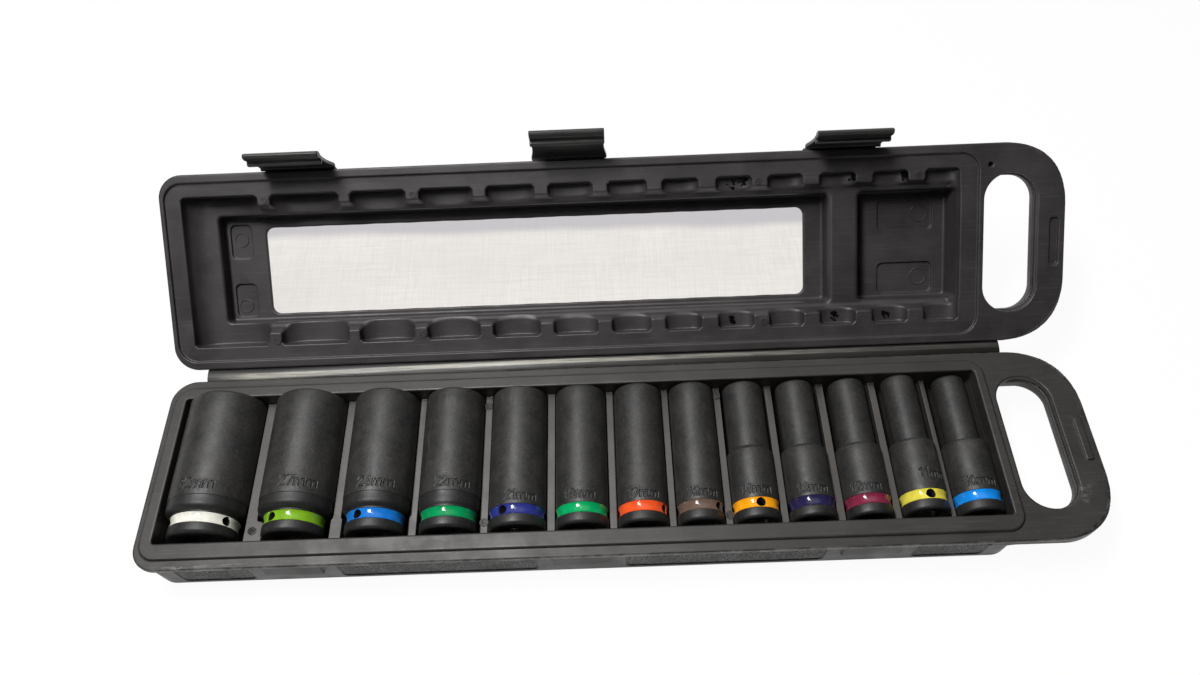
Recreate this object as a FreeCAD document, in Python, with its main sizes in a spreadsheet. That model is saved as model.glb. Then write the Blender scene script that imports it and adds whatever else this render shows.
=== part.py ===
import FreeCAD, Part
import math
import os
import Sketcher

# Hinged moulded carry case for deep impact sockets.
# Millimetres. X runs along the case toward the handle, Y toward the hinge, Z up. The origin is on the
# face the case stands on. The lid is drawn shut in its own frame, then swung open with its latches.

V = FreeCAD.Vector
doc = FreeCAD.newDocument("socket_case")
sheet = doc.addObject("Spreadsheet::Sheet", "dims")

SIZES = {
    # sockets: lengths along the axis from the drive end
    "socket_length": 78.0, "socket_shift": 1.4, "drive_square": 12.9, "drive_depth": 16.5,
    "drive_chamfer": 1.0, "nose_chamfer": 1.2, "hex_depth": 24.0, "bore_web": 5.5, "through_hole": 9.0,
    "band_start": 5.2, "band_width": 5.3, "band_groove": 1.0, "band_clearance": 0.1, "band_below": 0.25,
    "detent_diameter": 4.8, "long_neck": 11.3, "long_shoulder": 18.3, "shoulder_step": 0.3, "short_shoulder": 39.0,
    "short_step": 0.8, "least_wall": 2.4,
    # tray that holds them
    "pocket_left": 213.6, "side_room": 0.5, "front_room": 2.6, "back_room": 1.4,
    "axis_drop": 8.3, "trough_clearance": 0.4, "socket_sink": 0.25, "trough_floor": 1.8,
    # case walls outside the tray
    "plinth_wall": 6.8, "plinth_end_left": 6.4, "plinth_end_right": 5.1, "plinth_height": 1.5,
    "plinth_radius": 9.5, "flange_ledge": 5.0, "flange_end": 3.0, "flange_thickness": 3.5,
    "corner_radius": 13.0, "wall_inset": 2.0, "wall_end_right": 0.6, "draft_angle": 1.5,
    "wall_corner_radius": 11.0, "bottom_radius": 4.0,
    # handle
    "slot_gap": 2.8, "slot_width": 28.5, "slot_end_wall": 16.2, "grip_width": 15.1,
    "handle_corner_radius": 34.0, "handle_depth": 12.0, "handle_radius": 5.0, "handle_inset": 1.0,
    "key_gap": 7.3, "key_width": 4.0, "key_half_length": 12.5, "key_height": 0.8, "key_radius": 1.6,
    "key_clearance": 0.4,
    # lid
    "lid_height": 25.0, "lid_open": 139.3, "hinge_reach": 3.25, "parting_gap": 0.3,
    "cavity_room": 0.95, "tab_length": 7.15, "tab_radius": 1.6, "ledge_depth": 9.0,
    "tab_lean": 1.95, "tab_slope": 19.3, "ledge_end_left": 8.0,
    "cavity_end_left": 2.7, "cavity_end_right": 4.3, "scallop_web": 1.5,
    "panel_wall": 2.5, "panel_end_left": 13.5, "panel_end_right": 0.3, "panel_ledge_front": 3.8,
    "panel_ledge_back": 4.8, "panel_radius": 2.0, "bar_width": 16.4, "end_panel_length": 52.3,
    "window_end_left": 22.9, "window_end_right": 11.2, "window_edge_front": 7.2,
    "window_edge_back": 3.5, "window_radius": 4.5,
    "pad_depth": 1.2, "pad_radius": 3.0, "pad_edge": 2.6, "pad_length": 12.0, "pad_width": 19.2,
    "pad_margin_front": 5.0, "pad_margin_back": 2.1, "end_pad_edge": 7.3, "end_pad_length": 30.7,
    "end_pad_width": 17.3, "needle_offset": 3.0, "needle_rise": 4.8, "needle_diameter": 2.2,
    # latches and the catches they snap under
    "latch_width": 38.5, "latch_pitch": 145.0, "latch_middle": 0.5, "latch_hinge_out": 0.95,
    "latch_bead": 0.75, "latch_thickness": 2.2, "latch_tail": 9.0, "latch_gap": 0.3,
    "lip_clearance": 0.35, "latch_waist": 1.1, "latch_waist_radius": 60.0,
    "latch_ajar_outer": 8.0, "latch_ajar_centre": 22.0,
    "catch_width": 30.0, "catch_reach": 1.3, "catch_clearance": 0.45, "catch_drop": 12.5,
    # grain panels sunk in the front wall between the latch zones
    "grain_depth": 0.6, "grain_top": 5.2, "grain_foot": 6.0, "grain_radius": 3.0, "latch_zone": 45.0,
    "grain_end": 19.0,
    # hinge strip
    "strip_end_left": 4.6, "strip_end_right": 0.5, "strip_drop": 0.35, "strip_thickness": 1.0,
    "strip_arch": 0.5,
}

# For each size across flats: wall outside the hexagon's corners and the drive square's corners, room
# to the socket before it, how much the trough tightens at the drive end and shifts there, the lid
# scallop's sideways offset, side room and headroom, and the roll of the detent hole.
COLUMNS = ("nose_wall", "drive_wall", "gap", "trough_inset", "trough_shift", "scallop_offset",
           "scallop_room", "scallop_headroom", "roll")
SOCKETS = {
    32: (2.02, 8.13, 0.0, 0.0, 0.0, 1.6, 3.2, 2.35, 50.0),
    27: (3.71, 6.48, 6.3, 2.4, 1.2, 1.9, 2.5, 2.15, -37.0),
    24: (3.74, 5.88, 4.9, 0.8, 0.0, 0.3, 1.0, 2.25, -35.0),
    22: (3.20, 5.48, 4.2, 0.0, 0.0, -0.4, 2.6, 2.55, 120.0),
    21: (2.58, 0.0, 4.7, 0.0, 0.0, -0.7, 2.8, 2.95, -33.0),
    19: (2.63, 0.0, 4.8, 0.0, 0.0, -1.1, 3.4, 3.25, 150.0),
    17: (2.99, 0.0, 4.7, 0.0, 0.0, -1.3, 3.3, 3.65, 62.0),
    16: (2.76, 0.0, 4.5, 0.0, 0.0, -1.9, 4.0, 4.05, 52.0),
    14: (2.62, 2.78, 4.4, 0.0, 0.0, -1.1, 4.1, 4.15, 3.0),
    13: (2.49, 2.78, 4.6, 0.0, 0.0, -1.8, 3.8, 4.15, 165.0),
    12: (2.67, 2.78, 4.7, 0.0, 0.0, -2.2, 4.0, 4.15, -150.0),
    11: (2.65, 2.78, 4.6, 0.0, 0.0, -2.1, 3.9, 4.15, 3.0),
    10: (2.73, 2.78, 3.3, 0.0, 0.0, -1.2, 3.6, 4.15, 175.0),
}
for flats, row in SOCKETS.items():
    SIZES[f"flats_{flats}"] = float(flats)
    for column, number in zip(COLUMNS, row):
        SIZES[f"{column}_{flats}"] = number


class Size:
    """A number together with the sheet formula it comes from."""

    def __init__(self, number, text):
        self.number, self.text = number, text

    def __add__(self, other):
        other = size_of(other)
        return Size(self.number + other.number, f"({self.text} + {other.text})")

    def __sub__(self, other):
        other = size_of(other)
        return Size(self.number - other.number, f"({self.text} - {other.text})")

    def __mul__(self, other):
        other = size_of(other)
        return Size(self.number * other.number, f"({self.text} * {other.text})")

    def __truediv__(self, other):
        other = size_of(other)
        return Size(self.number / other.number, f"({self.text} / {other.text})")

    def __neg__(self):
        return Size(-self.number, f"(-1 * {self.text})")


def size_of(thing):
    return thing if isinstance(thing, Size) else Size(float(thing), repr(float(thing)))


def sine(angle):
    return Size(math.sin(math.radians(angle.number)), f"sin({angle.text})")


def cosine(angle):
    return Size(math.cos(math.radians(angle.number)), f"cos({angle.text})")


def root(square):
    """Square root, taken as nothing where the argument runs below zero."""
    return Size(math.sqrt(max(0.0, square.number)), f"sqrt(max(0; {square.text}))")


def larger(one, other):
    one, other = size_of(one), size_of(other)
    return Size(max(one.number, other.number), f"max({one.text}; {other.text})")


rows = 0


def enter(name, content):
    """Write one named cell of the sheet."""
    global rows
    rows += 1
    sheet.set(f"A{rows}", name)
    sheet.set(f"B{rows}", content)
    sheet.setAlias(f"B{rows}", name)


known = {}
for name, number in SIZES.items():
    enter(name, str(number))
    known[name] = number


def d(name):
    """The size of that name."""
    return Size(known[name], f"dims.{name}")


def derive(name, size):
    """Add a named size that follows from others."""
    size = size_of(size)
    enter(name, "=" + size.text.replace("dims.", ""))
    known[name] = size.number


def bind(thing, **paths):
    for path, size in paths.items():
        thing.setExpression(path.replace("_at_", "."), size_of(size).text)
    return thing


# ---------------------------------------------------------------- sizes that follow from the ones above
ROOT3 = math.sqrt(3)
square_corner = d("drive_square") * math.sqrt(2)
for flats, row in SOCKETS.items():
    over_hexagon = d(f"flats_{flats}") * (2 / ROOT3) + d(f"nose_wall_{flats}") * 2
    if row[1]:
        derive(f"nose_{flats}", over_hexagon)
        derive(f"drive_{flats}", square_corner + d(f"drive_wall_{flats}") * 2)
        derive(f"widest_{flats}", larger(d(f"nose_{flats}"), d(f"drive_{flats}")))
    else:
        derive(f"nose_{flats}", larger(over_hexagon, square_corner + d("least_wall") * 2))
        derive(f"drive_{flats}", d(f"nose_{flats}"))
        derive(f"widest_{flats}", d(f"nose_{flats}"))
derive("band_end", d("band_start") + d("band_width"))
derive("bore_depth", d("socket_length") - d("drive_depth") - d("bore_web"))

previous = None
for flats in SOCKETS:
    start = (d(f"centre_{previous}") + d(f"widest_{previous}") / 2 + d(f"gap_{flats}") if previous
             else d("side_room") - d("pocket_left"))
    derive(f"centre_{flats}", start + d(f"widest_{flats}") / 2)
    previous = flats
derive("pocket_right", d(f"centre_{previous}") + d(f"widest_{previous}") / 2 + d("side_room"))

deepest = d("widest_32")
for flats in list(SOCKETS)[1:]:
    deepest = larger(deepest, d(f"widest_{flats}"))
derive("base_height", d("axis_drop") + deepest / 2 + d("trough_clearance") + d("trough_floor"))
derive("axis_height", d("base_height") - d("axis_drop"))
derive("socket_height", d("axis_height") - d("socket_sink"))

derive("socket_front", d("socket_length") / 2 - d("socket_shift"))
derive("socket_back", d("socket_length") - d("socket_front"))
derive("pocket_front", d("socket_front") + d("front_room"))
derive("pocket_back", d("socket_back") + d("back_room"))
derive("plinth_half_depth", d("pocket_back") + d("plinth_wall"))
derive("flange_half_depth", d("plinth_half_depth") + d("flange_ledge"))
derive("wall_half_depth", d("flange_half_depth") - d("wall_inset"))
derive("hinge_y", d("flange_half_depth") + d("hinge_reach"))
derive("plinth_left", d("pocket_left") + d("plinth_end_left"))
derive("plinth_right", d("pocket_right") + d("plinth_end_right"))
derive("flange_left", d("plinth_left") + d("flange_end"))
derive("wall_right", d("plinth_right") + d("wall_end_right"))
derive("slot_left", d("wall_right") + d("slot_gap"))
derive("slot_right", d("slot_left") + d("slot_width"))
derive("slot_radius", d("slot_width") / 2 - 0.35)
derive("slot_half_depth", d("flange_half_depth") - d("slot_end_wall"))
derive("handle_right", d("slot_right") + d("grip_width"))
derive("key_left", d("slot_right") + d("key_gap"))
derive("key_right", d("key_left") + d("key_width"))

derive("cavity_half_depth", d("socket_back") + d("cavity_room"))
derive("tab_depth", d("cavity_half_depth") - d("tab_length"))
derive("cavity_left", d("pocket_left") - d("cavity_end_left"))
derive("cavity_right", d("pocket_right") - d("cavity_end_right"))
derive("floor_depth", d("lid_height") - d("panel_wall"))
derive("panel_left", d("cavity_left") - d("panel_end_left"))
derive("panel_right", d("cavity_right") - d("panel_end_right"))
derive("panel_front", d("tab_depth") - d("panel_ledge_front"))
derive("panel_back", d("tab_depth") - d("panel_ledge_back"))
derive("bar_right", d("panel_right") - d("end_panel_length"))
derive("bar_left", d("bar_right") - d("bar_width"))
derive("window_left", d("panel_left") - d("window_end_left"))
derive("window_right", d("bar_left") - d("window_end_right"))
derive("window_front", d("panel_front") - d("window_edge_front"))
derive("window_back", d("panel_back") - d("window_edge_back"))

# the lid's tab surface seen from a socket's axis, and the arc that clears the socket above it
derive("seat_depth", d("plinth_height") + 0.1)
derive("tab_rise", d("base_height") + d("parting_gap") + d("seat_depth") - d("socket_height"))
for flats in SOCKETS:
    radius = d(f"widest_{flats}") / 2
    reach = root(radius * radius - d("tab_rise") * d("tab_rise"))
    derive(f"scallop_half_{flats}", reach + d(f"scallop_room_{flats}"))
    derive(f"scallop_depth_{flats}", larger(radius - d("tab_rise"), 0.0) + d("seat_depth")
           + d(f"scallop_headroom_{flats}"))
    half, rise = d(f"scallop_half_{flats}"), d(f"scallop_depth_{flats}") - d("scallop_web")
    derive(f"scallop_radius_{flats}", (half * half + rise * rise) / (rise * 2.0))

derive("catch_foot", d("base_height") - d("flange_thickness") - d("catch_drop"))
derive("lip_drop", d("flange_thickness") * 1.5 + d("parting_gap") + d("catch_drop") + d("catch_clearance"))
derive("latch_length", d("lip_drop") + d("latch_tail"))
derive("latch_lip", d("latch_hinge_out") + d("wall_inset") - d("latch_gap") - d("lip_clearance"))
derive("grain_bottom", d("base_height") - d("grain_foot"))
derive("strip_left", d("flange_left") - d("corner_radius") - d("strip_end_left"))
derive("strip_right", d("handle_right") - d("handle_corner_radius") - d("strip_end_right"))
doc.recompute()
for name, number in known.items():
    if abs(float(sheet.get(name)) - number) > 1e-6:
        raise RuntimeError(f"the sheet gives {name} as {sheet.get(name)}, not {number}")


# ---------------------------------------------------------------- drawing helpers
def new_body(label):
    body = doc.addObject("PartDesign::Body", label)
    body.Label = label
    return body


def sketch(body, name, plane, raised=0.0, tilt=None, origin=(0.0, 0.0)):
    """A sketch on one of the body's own planes, lifted along the plane's normal."""
    made = body.newObject("Sketcher::SketchObject", name)
    support = next(f for f in body.Origin.OriginFeatures if f.Role == plane)
    made.AttachmentSupport = [(support, "")]
    made.MapMode = "FlatFace"
    if tilt is not None:
        made.AttachmentOffset = FreeCAD.Placement(V(), FreeCAD.Rotation(V(1, 0, 0), tilt.number))
        made.setExpression("AttachmentOffset.Rotation.Angle", tilt.text)
    for axis, size in zip("xyz", (*origin, raised)):
        made.setExpression(f"AttachmentOffset.Base.{axis}", size_of(size).text)
    return made


def hold(made, kind, first, point, size):
    """A signed distance from the sketch's origin to a point, bound to the sheet."""
    number = made.addConstraint(Sketcher.Constraint(kind, -1, 1, first, point, size.number))
    made.setExpression(f"Constraints[{number}]", size.text)


def hold_radius(made, arc, size):
    number = made.addConstraint(Sketcher.Constraint("Radius", arc, size.number))
    made.setExpression(f"Constraints[{number}]", size.text)


def polygon(made, corners):
    corners = [(size_of(x), size_of(y)) for x, y in corners]
    points = [V(x.number, y.number, 0) for x, y in corners]
    first = made.GeometryCount
    count = len(points)
    for i in range(count):
        made.addGeometry(Part.LineSegment(points[i], points[(i + 1) % count]))
    for i in range(count):
        made.addConstraint(Sketcher.Constraint("Coincident", first + i, 2, first + (i + 1) % count, 1))
    for i, (x, y) in enumerate(corners):
        hold(made, "DistanceX", first + i, 1, x)
        hold(made, "DistanceY", first + i, 1, y)
    return made


def circle(made, x, y, radius):
    x, y, radius = size_of(x), size_of(y), size_of(radius)
    number = made.addGeometry(Part.Circle(V(x.number, y.number, 0), V(0, 0, 1), radius.number))
    hold(made, "DistanceX", number, 3, x)
    hold(made, "DistanceY", number, 3, y)
    hold_radius(made, number, radius)
    return made


def round_box(made, left, right, low, high, radius, right_radius=None):
    """A rectangle with round corners; the two on the right may have a radius of their own."""
    left, right, low, high, radius = map(size_of, (left, right, low, high, radius))
    far = radius if right_radius is None else size_of(right_radius)
    x0, x1, y0, y1, r, q = left.number, right.number, low.number, high.number, radius.number, far.number
    first = made.GeometryCount
    ends = [((x0 + r, y0), (x1 - q, y0)), ((x1, y0 + q), (x1, y1 - q)),
            ((x1 - q, y1), (x0 + r, y1)), ((x0, y1 - r), (x0, y0 + r))]
    arcs = [((x1 - q, y0 + q), q, -90), ((x1 - q, y1 - q), q, 0),
            ((x0 + r, y1 - r), r, 90), ((x0 + r, y0 + r), r, 180)]
    for (start, end), (middle, size, turn) in zip(ends, arcs):
        made.addGeometry(Part.LineSegment(V(*start, 0), V(*end, 0)))
        ring = Part.Circle(V(*middle, 0), V(0, 0, 1), size)
        made.addGeometry(Part.ArcOfCircle(ring, math.radians(turn), math.radians(turn + 90)))
    for i in range(4):
        line, arc, following = first + 2 * i, first + 2 * i + 1, first + (2 * i + 2) % 8
        made.addConstraint(Sketcher.Constraint("Tangent", line, 2, arc, 1))
        made.addConstraint(Sketcher.Constraint("Tangent", arc, 2, following, 1))
        made.addConstraint(Sketcher.Constraint("Horizontal" if i % 2 == 0 else "Vertical", line))
    made.addConstraint(Sketcher.Constraint("Equal", first + 1, first + 3))
    made.addConstraint(Sketcher.Constraint("Equal", first + 5, first + 7))
    hold_radius(made, first + 1, far)
    hold_radius(made, first + 5, radius)
    for line, kind, size in ((0, "DistanceY", low), (2, "DistanceX", right), (4, "DistanceY", high),
                             (6, "DistanceX", left)):
        hold(made, kind, first + line, 1, size)
    return made


def feature(body, kind, name, profile, length, back=False, taper=None):
    made = body.newObject(f"PartDesign::{kind}", name)
    made.Profile = profile
    made.Reversed = back
    bind(made, Length=length)
    if taper is not None:
        bind(made, TaperAngle=taper)
    profile.Visibility = False
    return made


def pad(body, name, profile, length, **more):
    return feature(body, "Pad", name, profile, length, **more)


def pocket(body, name, profile, length, **more):
    return feature(body, "Pocket", name, profile, length, **more)


def spin(body, name, profile):
    """Turn a half profile about the sketch's vertical axis."""
    made = body.newObject("PartDesign::Revolution", name)
    made.Profile = profile
    made.ReferenceAxis = (profile, ["V_Axis"])
    made.Angle = 360
    profile.Visibility = False
    return made


def dress(body, kind, name, keep, **paths):
    """Round or chamfer the edges of the body's tip that the test picks."""
    doc.recompute()
    tip = body.Tip
    names = [f"Edge{i}" for i, edge in enumerate(tip.Shape.Edges, 1) if keep(edge)]
    made = body.newObject(f"PartDesign::{kind}", name)
    made.Base = (tip, names)
    bind(made, **paths)
    return made


def level(edge, height):
    return all(abs(vertex.Z - height) < 0.01 for vertex in edge.Vertexes)


def along_y(label, radius, low, high, x, z):
    """A cutting cylinder along Y."""
    rod = doc.addObject("Part::Cylinder", label)
    rod.Placement = FreeCAD.Placement(V(), FreeCAD.Rotation(V(1, 0, 0), -90))
    bind(rod, Radius=radius, Height=size_of(high) - low, Placement_at_Base_at_x=x,
         Placement_at_Base_at_y=low, Placement_at_Base_at_z=z)
    return rod


# ---------------------------------------------------------------- the outside both halves share
def half_shell(label, height, sign):
    """Flange, drafted tub wall and half-round handle; sign is -1 for a half that hangs below its flange."""
    body = new_body(label)
    top = d("base_height") if sign < 0 else size_of(0.0)
    half, inner = d("flange_half_depth"), d("handle_inset")

    # the grip is rounded before the tub wall covers its inner end
    grip = sketch(body, label + "_grip_plan", "XY_Plane", top)
    round_box(grip, d("wall_right") - 40.0, d("handle_right") - inner, -(half - inner), half - inner,
              d("handle_corner_radius") - inner - 6.0)
    pad(body, label + "_grip", grip, d("handle_depth"), back=sign < 0)
    slot = sketch(body, label + "_slot_plan", "XY_Plane", top)
    round_box(slot, d("wall_right") - 16.0, d("slot_right") - inner, -(d("slot_half_depth") - inner),
              d("slot_half_depth") - inner, d("slot_radius") - inner)
    pocket(body, label + "_slot", slot, d("handle_depth") + 1.0, back=sign > 0)
    rim = top.number + sign * d("handle_depth").number
    dress(body, "Fillet", label + "_grip_round", lambda e: level(e, rim), Radius=d("handle_radius"))

    tub = sketch(body, label + "_tub_plan", "XY_Plane", top)
    round_box(tub, -(d("flange_left") - d("wall_inset")), d("wall_right"), -d("wall_half_depth"),
              d("wall_half_depth"), d("wall_corner_radius"))
    pad(body, label + "_tub", tub, height, back=sign < 0, taper=-d("draft_angle"))
    far = 0.0 if sign < 0 else height.number
    dress(body, "Fillet", label + "_tub_edge", lambda e: level(e, far), Radius=d("bottom_radius"))

    flange = sketch(body, label + "_flange_plan", "XY_Plane", top)
    round_box(flange, -d("flange_left"), d("handle_right"), -half, half, d("corner_radius"),
              d("handle_corner_radius"))
    pad(body, label + "_flange", flange, d("flange_thickness"), back=sign < 0)
    through = sketch(body, label + "_slot_edge_plan", "XY_Plane", top)
    round_box(through, d("slot_left"), d("slot_right"), -d("slot_half_depth"), d("slot_half_depth"),
              d("slot_radius"))
    pocket(body, label + "_slot_edge", through, d("flange_thickness"), back=sign > 0)
    return body


def latch_x(place):
    return d("latch_middle") + d("latch_pitch") * place


LATCHES = {"latch_left": -1.0, "latch_centre": 0.0, "latch_right": 1.0}

# ---------------------------------------------------------------- lower half
base = half_shell("base_blank", d("base_height"), -1)
top = d("base_height")
plinth = sketch(base, "plinth_plan", "XY_Plane", top)
round_box(plinth, -d("plinth_left"), d("plinth_right"), -d("plinth_half_depth"),
          d("plinth_half_depth"), d("plinth_radius"))
pad(base, "plinth", plinth, d("plinth_height"))
tray = sketch(base, "tray_plan", "XY_Plane", top + d("plinth_height"))
round_box(tray, -d("pocket_left"), d("pocket_right"), -d("pocket_front"), d("pocket_back"), 1.2)
pocket(base, "tray", tray, top + d("plinth_height") - d("axis_height"))
key = sketch(base, "key_plan", "XY_Plane", top)
round_box(key, d("key_left"), d("key_right"), -d("key_half_length"), d("key_half_length"), d("key_radius"))
pad(base, "key", key, d("key_height"))

# wedge catches the latches snap under
wall = -d("wall_half_depth")
for label, place in LATCHES.items():
    wedge = sketch(base, label + "_catch_side", "YZ_Plane", latch_x(place) - d("catch_width") / 2)
    under = top - d("flange_thickness")
    tip = wall - d("catch_reach")
    polygon(wedge, [(wall + 1.5, under), (wall - 0.3, under), (tip, d("catch_foot") + 2.4),
                    (tip, d("catch_foot")), (wall + 1.5, d("catch_foot"))])
    pad(base, label + "_catch", wedge, d("catch_width"))

# shallow panels in the front wall that carry the grain, split by three smooth latch zones
edges = [d("grain_end") - d("flange_left")]
for place in LATCHES.values():
    edges += [latch_x(place) - d("latch_zone") / 2, latch_x(place) + d("latch_zone") / 2]
edges.append(d("wall_right") - d("grain_end") + d("wall_inset"))
for number in range(4):
    face = sketch(base, f"grain_{number}_plan", "XZ_Plane", d("wall_half_depth"), tilt=d("draft_angle"),
                  origin=(0.0, top))
    round_box(face, edges[2 * number], edges[2 * number + 1], -d("grain_bottom"), -d("grain_top"),
              d("grain_radius"))
    pocket(base, f"grain_{number}", face, d("grain_depth"))

# half-round troughs, one radius at the nose and for some sockets a tighter one at the drive end
troughs = []
for flats, row in SOCKETS.items():
    radius = d(f"widest_{flats}") / 2 + d("trough_clearance")
    low, x = -d("pocket_front"), d(f"centre_{flats}")
    if row[3]:
        split = d("long_neck") - d("socket_front") - 1.0
        troughs.append(along_y(f"trough_drive_{flats}", radius - d(f"trough_inset_{flats}"), low,
                               split + 0.5, x + d(f"trough_shift_{flats}"), d("axis_height")))
        low = split
    troughs.append(along_y(f"trough_{flats}", radius, low, d("pocket_back"), x, d("axis_height")))
trough_set = doc.addObject("Part::MultiFuse", "trough_set")
trough_set.Shapes = troughs
base_tray = doc.addObject("Part::Cut", "base_tray")
base_tray.Base, base_tray.Tool = base, trough_set

# ---------------------------------------------------------------- lid, drawn shut on its own parting plane
lid = half_shell("lid_blank", d("lid_height"), 1)
slack = d("key_clearance")
seat = sketch(lid, "seat_plan", "XY_Plane")
round_box(seat, -(d("plinth_left") + slack), d("plinth_right") + slack,
          -(d("plinth_half_depth") + slack), d("plinth_half_depth") + slack, d("plinth_radius") + slack)
pocket(lid, "seat", seat, d("seat_depth"), back=True)
ledge = sketch(lid, "ledge_plan", "XY_Plane")
tab_end = d("tab_depth") + d("tab_lean")
round_box(ledge, d("ledge_end_left") - d("cavity_left"), d("cavity_right"), -tab_end, tab_end,
          d("tab_radius") + d("tab_lean"))
pocket(lid, "ledge", ledge, d("ledge_depth"), back=True, taper=-d("tab_slope"))
for name, left, right in (("panel", -d("panel_left"), d("bar_left")),
                          ("end_panel", d("bar_right"), d("panel_right"))):
    plan = sketch(lid, name + "_plan", "XY_Plane")
    round_box(plan, left, right, -d("panel_front"), d("panel_back"), d("panel_radius"))
    pocket(lid, name, plan, d("floor_depth"), back=True)
window = sketch(lid, "window_plan", "XY_Plane")
round_box(window, -d("window_left"), d("window_right"), -d("window_front"), d("window_back"),
          d("window_radius"))
pocket(lid, "window", window, d("lid_height") + 1.0, back=True)

# shallow moulding pads at both ends of the panel floor
left_pad = d("pad_edge") - d("panel_left")
right_pad = d("panel_right") - d("end_pad_edge")
near, far = d("pad_margin_front") - d("panel_front"), d("panel_back") - d("pad_margin_back")
PADS = {"pad_a": (left_pad, left_pad + d("pad_length"), near, near + d("pad_width")),
        "pad_b": (left_pad, left_pad + d("pad_length"), far - d("pad_width"), far),
        "pad_c": (right_pad - d("end_pad_length"), right_pad, near, near + d("end_pad_width")),
        "pad_d": (right_pad - d("end_pad_length"), right_pad, far - d("end_pad_width"), far)}
for name, sides in PADS.items():
    plan = sketch(lid, name + "_plan", "XY_Plane")
    round_box(plan, *sides, d("pad_radius"))
    pocket(lid, name, plan, d("floor_depth") + d("pad_depth"), back=True)
plan = sketch(lid, "key_seat_plan", "XY_Plane")
round_box(plan, d("key_left") - slack, d("key_right") + slack, -(d("key_half_length") + slack),
          d("key_half_length") + slack, d("key_radius") + slack)
pocket(lid, "key_seat", plan, d("key_height") + 0.2, back=True)
plan = sketch(lid, "needle_plan", "XY_Plane")
circle(plan, d("slot_left") + d("needle_offset"), -(d("slot_half_depth") + d("needle_rise")),
       d("needle_diameter") / 2)
pocket(lid, "needle_hole", plan, d("flange_thickness") - 0.5, back=True)

# scallops that clear the upper side of each socket
scallops = []
for flats in SOCKETS:
    radius = d(f"scallop_radius_{flats}")
    scallops.append(along_y(f"scallop_{flats}", radius, -d("cavity_half_depth"), d("cavity_half_depth"),
                            d(f"centre_{flats}") + d(f"scallop_offset_{flats}"),
                            d(f"scallop_depth_{flats}") - radius))
scallop_set = doc.addObject("Part::MultiFuse", "scallop_set")
scallop_set.Shapes = scallops
lid_shell = doc.addObject("Part::Cut", "lid_shell")
lid_shell.Base, lid_shell.Tool = lid, scallop_set
turn = d("lid_open")
lid_shell.Placement = FreeCAD.Placement(V(), FreeCAD.Rotation(V(-1, 0, 0), turn.number))


def swing(y, z):
    """Where a point of the shut lid's YZ plane goes when the lid stands open."""
    y, z = size_of(y) - d("hinge_y"), size_of(z) + d("parting_gap")
    return (d("hinge_y") + y * cosine(turn) + z * sine(turn),
            d("base_height") - y * sine(turn) + z * cosine(turn))


at_y, at_z = swing(0.0, 0.0)
bind(lid_shell, Placement_at_Rotation_at_Angle=turn, Placement_at_Base_at_y=at_y,
     Placement_at_Base_at_z=at_z)

# ---------------------------------------------------------------- latches, drawn shut about their own hinge
hinge_in = -(d("flange_half_depth") + d("latch_hinge_out"))
for label, place in LATCHES.items():
    body = new_body(label)
    side = sketch(body, label + "_side", "YZ_Plane", -d("latch_width") / 2)
    bead, inner, drop, end = d("latch_bead"), d("latch_gap"), -d("lip_drop"), -d("latch_length")
    outer = inner - d("latch_thickness")
    lip = inner + d("latch_lip")
    polygon(side, [(bead, 0.0), (bead * 0.7, bead * 0.7), (0.0, bead), (outer * 0.75, bead * 0.8),
                   (outer, -bead), (outer, end + 6.0), (outer - 1.1, end + 4.2), (outer - 1.3, end + 2.0),
                   (outer - 0.7, end + 0.5), (outer + 0.4, end), (outer + 1.5, end + 0.5),
                   (inner, end + 2.2), (inner, drop - 2.6), (lip - 0.7, drop - 2.6),
                   (lip, drop - 1.9), (lip, drop - 0.5), (lip - 0.5, drop), (inner, drop),
                   (inner, -1.0), (bead, -0.5)])
    pad(body, label + "_strap", side, d("latch_width"))
    waist = sketch(body, label + "_waist", "XZ_Plane", -8.0)
    for hand in (-1.0, 1.0):
        far = (d("latch_width") / 2 - d("latch_waist") + d("latch_waist_radius")) * hand
        circle(waist, far, -(d("latch_length") * 0.42), d("latch_waist_radius"))
    pocket(body, label + "_waisting", waist, 16.0)
    ajar = d("latch_ajar_centre") if label == "latch_centre" else d("latch_ajar_outer")
    pivot_y, pivot_z = swing(hinge_in, d("flange_thickness") / 2)
    body.Placement = FreeCAD.Placement(V(), FreeCAD.Rotation(V(-1, 0, 0), (turn + ajar).number))
    bind(body, Placement_at_Rotation_at_Angle=turn + ajar, Placement_at_Base_at_x=latch_x(place),
         Placement_at_Base_at_y=pivot_y, Placement_at_Base_at_z=pivot_z)

# ---------------------------------------------------------------- hinge strip, as bent by the open lid
strip = new_body("living_hinge")
back, drop, thick = d("flange_half_depth"), d("strip_drop"), d("strip_thickness")
low_top = (back, top - drop)
low_under = (back, top - drop - thick)
lid_top = swing(back, drop)
lid_under = swing(back, drop + thick)
middle = ((low_top[0] + lid_top[0]) / 2, (low_top[1] + lid_top[1]) / 2)
arch = (middle[0] - d("strip_arch") * 0.3, middle[1] + d("strip_arch"))
under = ((low_under[0] + lid_under[0]) / 2, (low_under[1] + lid_under[1]) / 2)
side = sketch(strip, "strip_side", "YZ_Plane", -d("strip_left"))
polygon(side, [low_under, under, lid_under, lid_top, arch, low_top])
pad(strip, "strip", side, d("strip_left") + d("strip_right"))

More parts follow.
